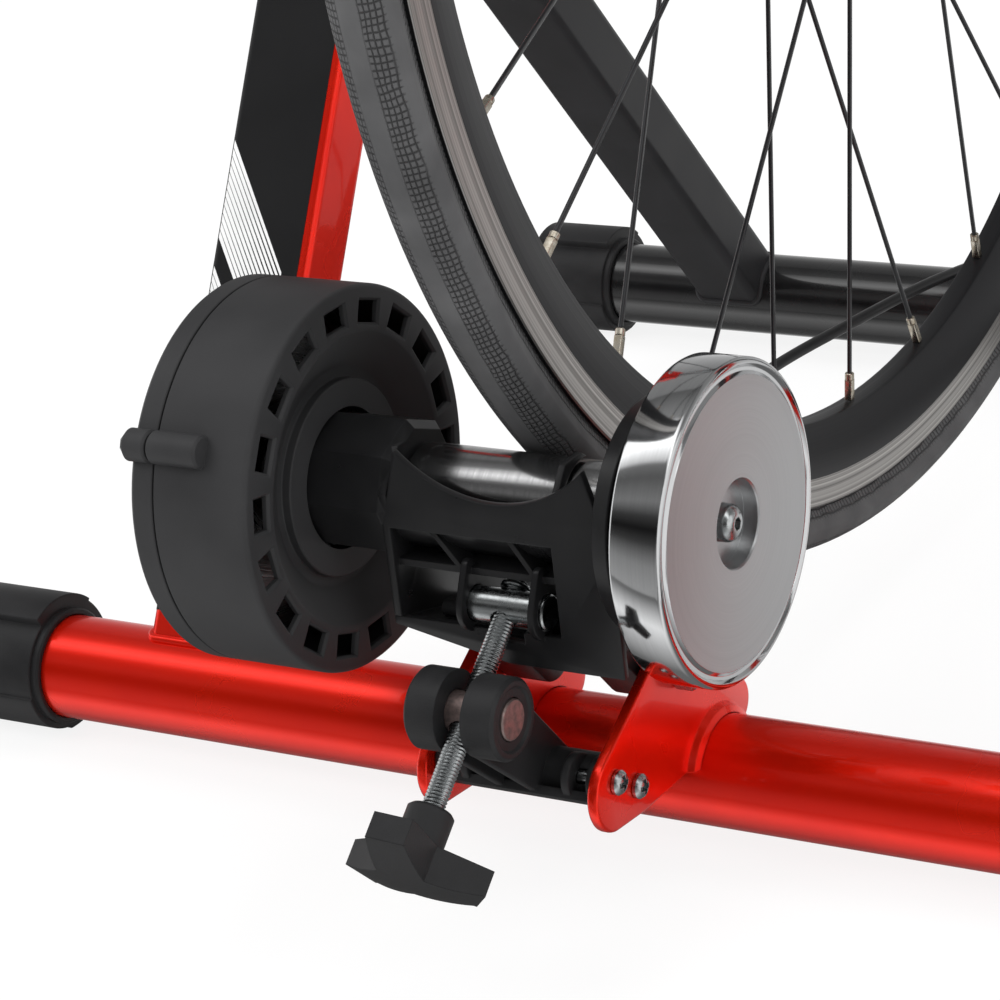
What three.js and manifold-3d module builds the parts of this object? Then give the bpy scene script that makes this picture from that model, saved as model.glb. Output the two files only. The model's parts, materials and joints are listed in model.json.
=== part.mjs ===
// Folding magnetic turbo trainer with a road wheel standing on its roller.
// Millimetres. X runs across the bicycle, Y forward, Z up, and the floor is Z = 0.
// The wheel turns in the plane X = 0. While the pieces are made, Y = 0 is the wheel axle.

import * as THREE from 'three';
import { mergeVertices } from 'three/addons/utils/BufferGeometryUtils.js';
import Module from 'manifold-3d';

const wasm = await Module();
wasm.setup();

// Clearances and facet counts
const gap = 0.3;
const overrun = 6;
const wheelSides = 36;
const largeSides = 24;
const tubeSides = 20;
const roundSides = 12;
const smallSides = 8;
const hexSides = 6;
const crownSteps = 6;
const ringSteps = 4;
const cornerSteps = 2;

// Wheel
const tyreHeight = 18;
const tyreWidth = 24;
const tyreWall = 2.6;
const crownShare = 0.45;
const tubeShare = 0.9;
const beadLift = 4;
const rimRadius = 317;
const rimWidth = 20;
const rimDepth = 31.5;
const rimWall = 1.7;
const brakeTrackHeight = 11.2;
const rimWellDepth = 12;
const spokeBedWidth = 9;
const valveRadius = 3;
const valveReach = 30;
const spokeCount = 28;
const spokeBreadth = 2.2;
const spokeThickness = 1.4;
const firstSpokeAngle = -5.9;
const spokeCross = 3;
const nippleSize = 3.6;
const nippleLength = 11;
const seatShare = 0.3;
const hubRadius = 14;
const flangeRadius = 25;
const flangeHoleInset = 3;
const flangeThickness = 3;
const leftFlangeX = 37;
const rightFlangeX = 19;
const hubEnd = 58;
const axleRadius = 5;
const dropoutWidth = 130;
const locknutThickness = 6;
const locknutRadius = 8.5;
const axleNutRadius = 9;
const axleNutLength = 12;
const axleNutTip = 5;
const axlePlay = 0.8;
const freewheelRadius = 17;
const smallestSprocketTeeth = 13;
const sprocketToothStep = 2;
const sprocketCount = 5;
const sprocketSpacing = 5;
const sprocketThickness = 2;
const chainLinkLength = 12.7;
const toothHeight = 3.6;

// Base tubes and levelling caps
const rearTubeRadius = 20;
const rearTubeBehind = 219.9;
const frontTubeRadius = 19;
const frontTubeAhead = 231.1;
const tubeWall = 2;
const baseWidth = 578;
const capReach = 39;
const capEnd = 4;
const capCollar = 3;
const capCollarWall = 2.6;
const capSteps = 5;
const capArcSteps = 4;
const capStepHeight = 1;
const capThinnestWall = 4;
const capRestStep = 2;
const capFirstStepAngle = 117;

// Legs
const legOffset = 182.5;
const legCorner = 4;
const legWall = 2;
const rearLegWidth = 44;
const rearLegDepth = 27.4;
const rearLegBehindAxle = 18;
const rearLegRise = 16;
const frontLegWidth = 32;
const frontLegDepth = 26.5;
const plugLip = 3;
const plugSkirt = 12;

// Fold pivot and head brackets
const foldDrop = 45.5;
const foldClearance = 1.5;
const foldBoltRadius = 5;
const foldBarrelRadius = 10;
const foldHeadRadius = 8.5;
const foldHeadHeight = 6;
const cheekThickness = 3;
const cheekHeadRadius = 19;
const cheekFoldRadius = 14;
const cheekLegRadius = 12;
const cheekLegDrop = 70;
const sleeveRadius = 15;
const sleeveLength = 60;
const plungerProud = 2;
const rodRoot = 1;

// Axle clamps
const clampRodRadius = 8;
const cupRadius = 13;
const cupLength = 22;
const cupDepth = 9;
const clampKnobRadius = 27;
const clampKnobThickness = 16;
const clampKnobReach = 14;
const clampKnobLobes = 5;
const knobArcSteps = 4;
const clampKnobWaveShare = 0.1;
const camRadius = 9;
const camThrow = 4;
const camRestAngle = 40;
const camWidth = 13;
const leverPinRadius = 3;
const leverLength = 78;
const leverThickness = 9;
const earThickness = 4;
const earLength = 26;
const earHeight = 20;

// Unit plates, bracket and pivot
const plateSpacing = 62;
const plateThickness = 4;
const plateBottom = 9;
const pivotBehindTube = 20.1;
const pivotAboveTube = 49;
const pivotPlateRadius = 15;
const plateHeelRadius = 14;
const plateHeelBehind = 67.5;
const plateHeelAbove = 25;
const plateBellyRadius = 11;
const plateBellyBehind = 50;
const plateToeRadius = 9;
const plateToeAhead = 18;
const plateToeAbove = 17;
const weldSize = 3.5;
const pivotBoltRadius = 5;
const pivotNutRadius = 8;
const pivotNutHeight = 7;
const bracketScrewBehind = 67.7;
const bracketScrewAbove = 28.4;
const bracketScrewSpacing = 15;
const bracketScrewSlope = 31;
const bracketScrewRadius = 2.5;
const bracketScrewHead = 4.3;
const bracketScrewHeadHeight = 3;
const bracketScrewLength = 16;
const bracketPadRadius = 8;
const bracketPadThickness = 3.2;
const bracketCollarInset = 9.5;
const bracketBarrelRadius = 9;
const lugInner = 5;
const lugOuter = 17;
const lugWeb = 3;
const lugBossRadius = 13.9;
const bracketSkinThickness = 3;

// Adjusting screw
const lowerTrunnionBehind = 96.4;
const lowerTrunnionAbove = 62.2;
const lowerTrunnionRadius = 7;
const upperTrunnionBehind = 18.3;
const upperTrunnionBelow = 31;
const upperTrunnionRadius = 6;
const upperTrunnionLength = 32;
const screwRadius = 4;
const screwClearance = 0.5;
const screwReach = 74.4;
const screwEndPast = 9;
const screwCircletRadius = 5.2;
const screwCircletThickness = 1.6;
const knobStemRadius = 8;
const knobStemLength = 13;
const knobRadius = 25;
const knobThickness = 13;
const knobDome = 4;
const knobLobes = 3;
const knobLobeWidth = 17;
const knobTaperShare = 0.8;

// Resistance unit
const rollerBehindPivot = 26.9;
const rollerAbovePivot = 68.12;
const rollerRadius = 15.4;
const rollerLength = 78;
const rollerWall = 4;
const shaftRadius = 5;
const cradleHalfWidth = 43.5;
const cradleWall = 3;
const cradleRear = 22;
const cradleBandBottom = 3;
const cradleHornHeight = 22;
const cradleDip = 7;
const cradleSideDrop = 38;
const cradleFront = 19;
const cradleFloorDrop = 50;
const troughRadius = 17;
const troughWall = 2.6;
const ribThickness = 2.4;
const pocketHeight = 12;
const pocketRibShares = [[-0.72, -0.42], [0.02, 0.28]];
const columnX = 21;
const wheelClearance = 3;
const trunnionSeatRadius = 9.5;
const knuckleRadius = 12;
const knuckleInner = 13;
const knuckleOuter = 30;
const housingRadius = 24;
const housingReachRight = 14;
const housingSides = 8;
const bearingRadius = 16;
const bearingWidth = 9;
const bearingCoverRadius = 33;
const bearingCoverThickness = 3.5;
const coverBevel = 1;

// Drum
const drumRadius = 66.3;
const drumNearX = 66.1;
const drumSeamX = 103.2;
const drumFarX = 114.6;
const drumWall = 2.5;
const drumBevel = 1.8;
const drumLandInner = 50;
const drumDishDepth = 8;
const drumDiscRadius = 34;
const drumDiscHeight = 3.5;
const slotCount = 18;
const slotInner = 53;
const slotOuter = 60.5;
const slotWidth = 11.5;
const drumBossRadius = 5.6;
const drumBossCount = 3;
const drumBossAngle = 152;
const drumBossLength = 20;
const drumBossStep = 1.2;
const drumScrewRadius = 2;
const drumScrewHead = 3.8;
const drumScrewHeadHeight = 2;
const drumScrewLength = 24;
const rotorRadius = 58;
const rotorThickness = 4;
const rotorHub = 11;
const rotorHubLength = 12;
const rotorHubLip = 1.2;
const magnetRingInner = 30;
const magnetRingOuter = 59;
const magnetRingThickness = 3;
const magnetCount = 6;
const magnetRadius = 9;
const magnetThickness = 2.4;
const magnetGap = 2;

// Flywheel
const flywheelRadius = 53.3;
const flywheelInnerX = 60.6;
const flywheelOuterX = 78.3;
const flywheelBead = 3.2;
const flywheelGroove = 0.9;
const flywheelGrooveWidth = 2.4;
const flywheelRecess = 14.35;
const flywheelRecessDepth = 8;
const flywheelWeb = 4;
const flywheelScrewRadius = 3;
const flywheelScrewHead = 5.5;
const flywheelScrewHeadHeight = 3.2;
const flywheelScrewLength = 14;
const screwCrownHeightShare = 0.8;
const screwCrownWidthShare = 0.7;

// Cable, its store and its remote lever; the route's points are free choices, [x, y, z]
const cableRadius = 2.5;
const cableRunSteps = 42;
const glandX = 88;
const glandAngle = -47;
const glandLength = 16;
const glandRootRadius = 5.6;
const glandTipRadius = 3.7;
const cableRoute = [
  [-88, -176, 67], [-89, -140, 63], [-91, -75, 57], [-92, 0, 52.5], [-90, 84.6, 51.1], [-80, 131.9, 52.2],
  [-68, 184.6, 52.6], [-63, 209, 51], [-60, 231.1, 47.7], [-60, 256, 38.5], [-60, 277, 18], [-60, 293, 6.5],
  [-60, 308, 3.1],
];
const coilX = -60;
const coilY = 330;
const coilInnerRadius = 21;
const coilLayerTurns = 3;
const coilClimbTurns = 0.5;
const coilTurnSpacing = 5.45;
const coilLoopSteps = 20;
const coilSides = 6;
const coilTail = 32;
const remoteWidth = 24;
const remoteLength = 34;
const remoteHeight = 13;
const remoteCorner = 4;
const remoteBossRadius = 9;
const remoteBossHeight = 2;
const handlebarRadius = 15.9;
const saddleDepth = 5;
const remotePinRadius = 2.5;
const remotePinHeight = 5;
const remoteArmLength = 27;
const remoteArmTipRadius = 4;
const remoteArmThickness = 3.4;

// Finishes
const finish = (color, roughness, metalness) => (
  new THREE.MeshStandardMaterial({ color, roughness, metalness }));
const redLacquer = () => finish(0xc4120c, 0.3, 0.5);
const blackLacquer = () => finish(0x1c1c1d, 0.3, 0.2);
const blackPlastic = () => finish(0x232324, 0.6, 0);
const zinc = () => finish(0xb9bcbc, 0.35, 0.9);
const steel = () => finish(0x8f9091, 0.25, 1);
const chrome = () => finish(0xa7a8a9, 0.12, 1);
const rubber = () => finish(0x2c2c2d, 0.85, 0);
const blackAlloy = () => finish(0x303031, 0.45, 0.6);

// Solids: every shape is a three.js geometry, and joins and cuts go through one closed body

const radians = THREE.MathUtils.degToRad;

function solidOf(geometry) {
  const bare = geometry.clone();
  bare.deleteAttribute('normal');
  bare.deleteAttribute('uv');
  const merged = mergeVertices(bare, 1e-4);
  const vertProperties = new Float32Array(merged.attributes.position.array);
  const triVerts = new Uint32Array(merged.index.array);
  return new wasm.Manifold(new wasm.Mesh({ numProp: 3, vertProperties, triVerts }));
}

function geometryOf(solid) {
  const mesh = solid.getMesh();
  const geometry = new THREE.BufferGeometry();
  geometry.setAttribute('position', new THREE.BufferAttribute(new Float32Array(mesh.vertProperties), 3));
  geometry.setIndex(new THREE.BufferAttribute(new Uint32Array(mesh.triVerts), 1));
  return geometry;
}

function join(...geometries) {
  return geometryOf(geometries.map(solidOf).reduce((sum, next) => sum.add(next)));
}

function cut(geometry, ...tools) {
  return geometryOf(tools.map(solidOf).reduce((rest, tool) => rest.subtract(tool), solidOf(geometry)));
}

function common(first, second) {
  return geometryOf(solidOf(first).intersect(solidOf(second)));
}

// Outline drawn in Y and Z, drawn out along X
function plateX(shape, fromX, toX) {
  const geometry = new THREE.ExtrudeGeometry(shape, { depth: toX - fromX, bevelEnabled: false });
  geometry.applyMatrix4(new THREE.Matrix4().makeBasis(
    new THREE.Vector3(0, 1, 0), new THREE.Vector3(0, 0, 1), new THREE.Vector3(1, 0, 0)));
  return geometry.translate(fromX, 0, 0);
}

// Outline drawn in Z and X, drawn out along Y
function plateY(shape, fromY, toY) {
  const geometry = new THREE.ExtrudeGeometry(shape, { depth: toY - fromY, bevelEnabled: false });
  geometry.applyMatrix4(new THREE.Matrix4().makeBasis(
    new THREE.Vector3(0, 0, 1), new THREE.Vector3(1, 0, 0), new THREE.Vector3(0, 1, 0)));
  return geometry.translate(0, fromY, 0);
}

// Profile of [x, radius] points turned about the X axis
function turned(profile, sides) {
  const points = profile.map(([x, radius]) => new THREE.Vector2(radius, x));
  return new THREE.LatheGeometry(points, sides).rotateZ(-Math.PI / 2);
}

function rodX(radius, fromX, toX, sides, y = 0, z = 0) {
  return turned([[fromX, 0], [fromX, radius], [toX, radius], [toX, 0]], sides).translate(0, y, z);
}

function pipeX(outer, inner, fromX, toX, sides, y = 0, z = 0) {
  const profile = [[fromX, inner], [fromX, outer], [toX, outer], [toX, inner], [fromX, inner]];
  return turned(profile, sides).translate(0, y, z);
}

function block(fromX, toX, fromY, toY, fromZ, toZ) {
  return new THREE.BoxGeometry(toX - fromX, toY - fromY, toZ - fromZ)
    .translate((fromX + toX) / 2, (fromY + toY) / 2, (fromZ + toZ) / 2);
}

// Round bar between two points
function bar(from, to, radius, sides) {
  const span = new THREE.Vector3().subVectors(to, from);
  const along = span.clone().normalize();
  const turn = new THREE.Quaternion().setFromUnitVectors(new THREE.Vector3(0, 1, 0), along);
  const middle = new THREE.Vector3().addVectors(from, to).multiplyScalar(0.5);
  return new THREE.CylinderGeometry(radius, radius, span.length(), sides)
    .applyQuaternion(turn).translate(middle.x, middle.y, middle.z);
}

function polygon(points) {
  return new THREE.Shape(points.map(([first, second]) => new THREE.Vector2(first, second)));
}

// Points on an arc, both ends included
function arcPoints([y, z, radius], start, end, steps) {
  const points = [];
  for (let step = 0; step <= steps; step += 1) {
    const angle = start + (end - start) * step / steps;
    points.push([y + radius * Math.cos(angle), z + radius * Math.sin(angle)]);
  }
  return points;
}

// Outline of a belt laid round circles [y, z, radius] that are listed anticlockwise
function belt(circles) {
  const count = circles.length;
  const normals = circles.map(([y, z, radius], index) => {
    const [nextY, nextZ, nextRadius] = circles[(index + 1) % count];
    const distance = Math.hypot(nextY - y, nextZ - z);
    return Math.atan2(nextZ - z, nextY - y) - Math.acos((radius - nextRadius) / distance);
  });
  return polygon(circles.flatMap((circle, index) => {
    const start = normals[(index + count - 1) % count];
    let end = normals[index];
    while (end < start) end += 2 * Math.PI;
    return arcPoints(circle, start, end, Math.ceil(roundSides * (end - start) / (2 * Math.PI)));
  }));
}

function roundedRectangle(width, height, corner) {
  const right = width / 2 - corner;
  const top = height / 2 - corner;
  const quarter = Math.PI / 2;
  const centres = [[right, top], [-right, top], [-right, -top], [right, -top]];
  return polygon(centres.flatMap(([x, y], index) => arcPoints(
    [x, y, corner], index * quarter, (index + 1) * quarter, cornerSteps)));
}

// Section drawn out from a foot in the Y-Z plane along a direction; its width lies along X
function beam(shape, foot, direction, length) {
  const geometry = new THREE.ExtrudeGeometry(shape, { depth: length, bevelEnabled: false });
  const face = new THREE.Vector3().crossVectors(direction, new THREE.Vector3(1, 0, 0));
  geometry.applyMatrix4(new THREE.Matrix4().makeBasis(new THREE.Vector3(1, 0, 0), face, direction));
  return geometry.translate(foot.x, foot.y, foot.z);
}

function boxTube(width, depth, wall, corner, foot, direction, length) {
  const outer = beam(roundedRectangle(width, depth, corner), foot, direction, length);
  const bore = roundedRectangle(width - 2 * wall, depth - 2 * wall, corner - wall);
  const start = foot.clone().addScaledVector(direction, -overrun);
  return cut(outer, beam(bore, start, direction, length + 2 * overrun));
}

const trainer = new THREE.Group();

function piece(name, geometry, material) {
  const mesh = new THREE.Mesh(geometry, material);
  mesh.name = name;
  trainer.add(mesh);
  return mesh;
}

const sides = [['left', -1], ['right', 1]];

// Places that several pieces share, as [y, z]
const capWallAt = (step) => capThinnestWall + step * capStepHeight;
const capFlatShare = Math.cos(Math.PI / (capSteps * capArcSteps));
const rearTube = [-rearTubeBehind, (rearTubeRadius + capWallAt(capRestStep)) * capFlatShare];
const frontTube = [frontTubeAhead, (frontTubeRadius + capWallAt(capRestStep)) * capFlatShare];
const unitPivot = [rearTube[0] - pivotBehindTube, rearTube[1] + pivotAboveTube];
const roller = [unitPivot[0] - rollerBehindPivot, unitPivot[1] + rollerAbovePivot];
const tyreRadius = rimRadius + tyreHeight;
const rollerBehindAxle = -roller[0];
const rollerDrop = Math.sqrt((tyreRadius + rollerRadius + gap) ** 2 - rollerBehindAxle ** 2);
const axleHeight = roller[1] + rollerDrop;
const legTopPoint = [-rearLegBehindAxle, axleHeight];
const rearLegRun = Math.hypot(legTopPoint[0] - rearTube[0], legTopPoint[1] - rearTube[1]);
const rearLegDirection = new THREE.Vector3(
  0, (legTopPoint[0] - rearTube[0]) / rearLegRun, (legTopPoint[1] - rearTube[1]) / rearLegRun);
const rearLegFront = new THREE.Vector3(0, rearLegDirection.z, -rearLegDirection.y);
const foldOffset = rearLegDepth / 2 + frontLegDepth / 2 + foldClearance;
const foldPivot = [
  legTopPoint[0] - foldDrop * rearLegDirection.y + foldOffset * rearLegFront.y,
  legTopPoint[1] - foldDrop * rearLegDirection.z + foldOffset * rearLegFront.z,
];
const frontLegRun = Math.hypot(foldPivot[0] - frontTube[0], foldPivot[1] - frontTube[1]);
const frontLegDirection = new THREE.Vector3(
  0, (foldPivot[0] - frontTube[0]) / frontLegRun, (foldPivot[1] - frontTube[1]) / frontLegRun);
const upperTrunnion = [roller[0] - upperTrunnionBehind, roller[1] - upperTrunnionBelow];
const lowerTrunnion = [rearTube[0] - lowerTrunnionBehind, rearTube[1] + lowerTrunnionAbove];
const screwRun = Math.hypot(lowerTrunnion[0] - upperTrunnion[0], lowerTrunnion[1] - upperTrunnion[1]);
const screwDirection = new THREE.Vector3(
  0, (lowerTrunnion[0] - upperTrunnion[0]) / screwRun, (lowerTrunnion[1] - upperTrunnion[1]) / screwRun);
const plateInner = plateSpacing / 2;
const plateOuter = plateInner + plateThickness;

function pointAlongScrew(distance, x = 0) {
  return new THREE.Vector3(
    x, upperTrunnion[0] + distance * screwDirection.y, upperTrunnion[1] + distance * screwDirection.z);
}

// Base tubes and levelling caps

function baseTube(name, radius, [y, z], material) {
  const end = baseWidth / 2 - capEnd - gap;
  piece(name, pipeX(radius, radius - tubeWall, -end, end, tubeSides, y, z), material);
}

// A cap turns on the tube end: each step of its rim lifts the frame a little more
function levellingCap(name, tubeRadius, [y, z], side) {
  const stepAngle = 2 * Math.PI / capSteps;
  const points = [];
  for (let step = 0; step < capSteps; step += 1) {
    const start = radians(capFirstStepAngle) + step * stepAngle;
    points.push(...arcPoints([0, 0, tubeRadius + capWallAt(step)], start, start + stepAngle, capArcSteps));
  }
  const outline = polygon(points);
  const innerX = baseWidth / 2 - capReach;
  const outerX = baseWidth / 2;
  const body = plateX(outline, innerX, outerX);
  const collar = rodX(tubeRadius + capCollarWall, innerX - capCollar, innerX + capEnd, tubeSides);
  const bore = rodX(tubeRadius + gap, innerX - capCollar - overrun, outerX - capEnd, tubeSides);
  const cap = cut(join(body, collar), bore);
  if (side < 0) cap.applyMatrix4(mirrorX);
  const geometry = side < 0 ? flipped(cap) : cap;
  piece(name, geometry.translate(0, y, z), blackPlastic());
}

const mirrorX = new THREE.Matrix4().makeScale(-1, 1, 1);

function flipped(geometry) {
  const index = geometry.index.array;
  for (let corner = 0; corner < index.length; corner += 3) {
    [index[corner], index[corner + 1]] = [index[corner + 1], index[corner]];
  }
  return geometry;
}

function mirrored(geometry) {
  return flipped(geometry.clone().applyMatrix4(mirrorX));
}

baseTube('rear_base_tube', rearTubeRadius, rearTube, redLacquer());
baseTube('front_base_tube', frontTubeRadius, frontTube, blackLacquer());
for (const [side, sign] of sides) {
  levellingCap(`rear_cap_${side}`, rearTubeRadius, rearTube, sign);
  levellingCap(`front_cap_${side}`, frontTubeRadius, frontTube, sign);
}

// Legs, plugs and head brackets

const rearLegLength = rearLegRun + rearLegRise;
const sleeveToolEnd = legOffset + sleeveLength;
const sleeveTool = rodX(sleeveRadius + gap, -sleeveToolEnd, sleeveToolEnd, roundSides, 0, axleHeight);

function rearLeg(side, sign) {
  const foot = new THREE.Vector3(sign * legOffset, rearTube[0], rearTube[1]);
  const tube = boxTube(rearLegWidth, rearLegDepth, legWall, legCorner, foot, rearLegDirection, rearLegLength);
  const [from, to] = [foot.x - rearLegWidth, foot.x + rearLegWidth];
  const saddle = rodX(rearTubeRadius + gap, from, to, tubeSides, ...rearTube);
  piece(`rear_leg_${side}`, cut(tube, saddle, sleeveTool), redLacquer());

  const top = foot.clone().addScaledVector(rearLegDirection, rearLegLength + gap);
  const lip = beam(roundedRectangle(rearLegWidth, rearLegDepth, legCorner), top, rearLegDirection, plugLip);
  const fit = 2 * (legWall + gap);
  const skirtFoot = top.clone().addScaledVector(rearLegDirection, -plugSkirt);
  const skirt = beam(
    roundedRectangle(rearLegWidth - fit, rearLegDepth - fit, legCorner - legWall),
    skirtFoot, rearLegDirection, plugSkirt + plugLip / 2);
  piece(`leg_plug_${side}`, cut(join(lip, skirt), sleeveTool), blackPlastic());
}

function frontLeg(side, sign) {
  const foot = new THREE.Vector3(sign * legOffset, frontTube[0], frontTube[1]);
  const tube = boxTube(
    frontLegWidth, frontLegDepth, legWall, legCorner, foot, frontLegDirection, frontLegRun);
  const [from, to] = [foot.x - frontLegWidth, foot.x + frontLegWidth];
  const saddle = rodX(frontTubeRadius + gap, from, to, tubeSides, ...frontTube);
  const shell = cut(tube, saddle);
  const barrelHalf = rearLegWidth / 2 - gap;
  const noseHalf = frontLegWidth / 2;
  const nose = rodX(frontLegDepth / 2, foot.x - noseHalf, foot.x + noseHalf, roundSides, ...foldPivot);
  const barrel = rodX(foldBarrelRadius, foot.x - barrelHalf, foot.x + barrelHalf, roundSides, ...foldPivot);
  const hole = rodX(
    foldBoltRadius + 2 * gap, foot.x - rearLegWidth, foot.x + rearLegWidth, smallSides, ...foldPivot);
  piece(`front_leg_${side}`, cut(join(shell, nose, barrel), hole), blackLacquer());
}

// Cross sleeve for the axle clamp, with two cheeks welded to the sides of the leg
function headBracket(side, sign) {
  const cheekInner = rearLegWidth / 2 + gap;
  const cheekOuter = cheekInner + cheekThickness;
  const lower = [
    legTopPoint[0] - cheekLegDrop * rearLegDirection.y,
    legTopPoint[1] - cheekLegDrop * rearLegDirection.z,
  ];
  const outline = belt([
    [lower[0], lower[1], cheekLegRadius],
    [foldPivot[0], foldPivot[1], cheekFoldRadius],
    [0, axleHeight, cheekHeadRadius],
  ]);
  const sleeve = rodX(
    sleeveRadius, legOffset - sleeveLength / 2, legOffset + sleeveLength / 2, roundSides, 0, axleHeight);
  const solids = [
    sleeve,
    plateX(outline, legOffset - cheekOuter, legOffset - cheekInner),
    plateX(outline, legOffset + cheekInner, legOffset + cheekOuter),
  ];
  const tools = [
    rodX(foldBoltRadius + gap, legOffset - rearLegWidth, legOffset + rearLegWidth, smallSides, ...foldPivot),
    rodX(
      clampRodRadius + gap, legOffset - sleeveLength, legOffset + sleeveLength, roundSides, 0, axleHeight),
  ];
  if (sign > 0) {
    const earStart = legOffset + sleeveLength / 2 - overrun;
    for (const earSide of [-1, 1]) {
      const earMiddle = earSide * (camWidth / 2 + gap + earThickness / 2);
      solids.push(block(
        earStart, earStart + overrun + earLength, earMiddle - earThickness / 2, earMiddle + earThickness / 2,
        axleHeight - earHeight / 2, axleHeight + earHeight / 2));
    }
    const pinEnd = camWidth / 2 + gap + earThickness;
    solids.push(bar(
      new THREE.Vector3(leverPivotX, -pinEnd, axleHeight), new THREE.Vector3(leverPivotX, pinEnd, axleHeight),
      leverPinRadius, smallSides));
  }
  const bracket = cut(join(...solids), ...tools);
  piece(`head_bracket_${side}`, sign < 0 ? mirrored(bracket) : bracket, redLacquer());
}

function foldBolt(side, sign) {
  const outer = rearLegWidth / 2 + gap + cheekThickness + gap;
  const shank = rodX(foldBoltRadius, -outer - foldHeadHeight, outer + foldHeadHeight, smallSides);
  const head = rodX(foldHeadRadius, outer, outer + foldHeadHeight, smallSides);
  const nut = rodX(foldHeadRadius, -outer - foldHeadHeight, -outer, hexSides);
  piece(`fold_bolt_${side}`, join(shank, head, nut).translate(sign * legOffset, ...foldPivot), zinc());
}

// Axle clamps

const cupFace = dropoutWidth / 2 + gap + axleNutLength - cupDepth;
const cupBack = cupFace + cupLength;
const sleeveOuterX = legOffset + sleeveLength / 2;
const plungerEndX = sleeveOuterX + gap + plungerProud;
const camRestReach = camRadius + camThrow * Math.cos(radians(camRestAngle));
const leverPivotX = plungerEndX + gap + camRestReach;

function cup() {
  const body = rodX(cupRadius, cupFace, cupBack, roundSides);
  const tip = axleNutTip + gap;
  const hollow = turned([
    [cupFace - overrun, 0], [cupFace - overrun, axleNutRadius + gap],
    [cupFace + cupDepth - tip, axleNutRadius + gap], [cupFace + cupDepth + gap, tip],
    [cupFace + cupDepth + gap, 0],
  ], roundSides);
  return cut(body, hollow);
}

function scallopedKnob(radius, thickness, lobes) {
  const wave = clampKnobWaveShare * radius;
  const count = lobes * knobArcSteps;
  const points = [];
  for (let index = 0; index < count; index += 1) {
    const angle = 2 * Math.PI * index / count;
    const reach = radius - wave + wave * Math.cos(lobes * angle);
    points.push([reach * Math.cos(angle), reach * Math.sin(angle)]);
  }
  return plateX(polygon(points), 0, thickness);
}

function leftClamp() {
  piece('clamp_cup_left', mirrored(cup()).translate(0, 0, axleHeight), zinc());
  const knobX = sleeveOuterX + clampKnobReach;
  const rod = rodX(clampRodRadius, cupBack + gap, knobX + clampKnobThickness / 2, roundSides);
  piece('clamp_screw_left', mirrored(rod).translate(0, 0, axleHeight), zinc());
  const knob = scallopedKnob(clampKnobRadius, clampKnobThickness, clampKnobLobes).translate(knobX, 0, 0);
  const socketEnd = knobX + clampKnobThickness / 2 + gap;
  const socket = rodX(clampRodRadius + gap, knobX - overrun, socketEnd, roundSides);
  piece('clamp_knob_left', mirrored(cut(knob, socket)).translate(0, 0, axleHeight), blackPlastic());
}

function rightClamp() {
  const plunger = join(cup(), rodX(clampRodRadius, cupBack - rodRoot, plungerEndX, roundSides));
  piece('clamp_plunger_right', plunger.translate(0, 0, axleHeight), zinc());
  const angle = radians(camRestAngle);
  const cam = new THREE.CylinderGeometry(camRadius, camRadius, camWidth, largeSides)
    .translate(-camThrow * Math.cos(angle), 0, -camThrow * Math.sin(angle));
  const arm = belt([
    [0, -leverLength, leverThickness / 3], [leverThickness / 6, -leverLength / 3, leverThickness / 2],
    [leverThickness / 3, 0, leverThickness / 2], [-leverThickness / 6, -leverLength / 3, leverThickness / 2],
  ]);
  const armSolid = plateX(arm, -camWidth / 2, camWidth / 2).rotateZ(-Math.PI / 2);
  const hole = bar(
    new THREE.Vector3(0, -camWidth, 0), new THREE.Vector3(0, camWidth, 0), leverPinRadius + gap, smallSides);
  const lever = cut(join(cam, armSolid), hole);
  piece('clamp_lever_right', lever.translate(leverPivotX, 0, axleHeight), blackLacquer());
}

for (const [side, sign] of sides) {
  rearLeg(side, sign);
  frontLeg(side, sign);
  headBracket(side, sign);
  foldBolt(side, sign);
}
leftClamp();
rightClamp();

// Unit plates, pivot bolt and screw bracket; circles are given from the centre of the rear tube

const slope = radians(bracketScrewSlope);
const rearScrew = [-bracketScrewBehind, bracketScrewAbove];
const frontScrew = [
  rearScrew[0] + bracketScrewSpacing * Math.cos(slope), rearScrew[1] - bracketScrewSpacing * Math.sin(slope)];
const bracketAxis = [(rearScrew[0] + frontScrew[0]) / 2, (rearScrew[1] + frontScrew[1]) / 2];

function unitPlate(side, sign) {
  const bellyAbove = plateBottom + plateBellyRadius;
  const outline = belt([
    [-plateBellyBehind, bellyAbove, plateBellyRadius],
    [plateToeAhead, plateToeAbove, plateToeRadius],
    [-pivotBehindTube, pivotAboveTube, pivotPlateRadius],
    [-plateHeelBehind, plateHeelAbove, plateHeelRadius],
  ]);
  const tubeTool = rodX(rearTubeRadius + gap, 0, 2 * plateOuter, tubeSides);
  const beadRoot = rearTubeRadius + gap;
  const bead = turned([
    [plateInner, beadRoot], [plateInner, beadRoot + weldSize], [plateOuter, beadRoot + weldSize],
    [plateOuter + weldSize, beadRoot], [plateInner, beadRoot],
  ], tubeSides);
  const reach = 2 * rearTubeRadius;
  const below = block(0, 2 * plateOuter, -reach, reach, -reach, plateBottom);
  const screwHoles = [rearScrew, frontScrew].map(
    ([y, z]) => rodX(bracketScrewRadius + gap, 0, 2 * plateOuter, smallSides, y, z));
  const plate = cut(
    join(plateX(outline, plateInner, plateOuter), cut(bead, below)),
    tubeTool,
    rodX(pivotBoltRadius + gap, 0, 2 * plateOuter, smallSides, -pivotBehindTube, pivotAboveTube),
    ...screwHoles);
  const geometry = sign < 0 ? mirrored(plate) : plate;
  piece(`unit_plate_${side}`, geometry.translate(0, ...rearTube), redLacquer());
}

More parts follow.
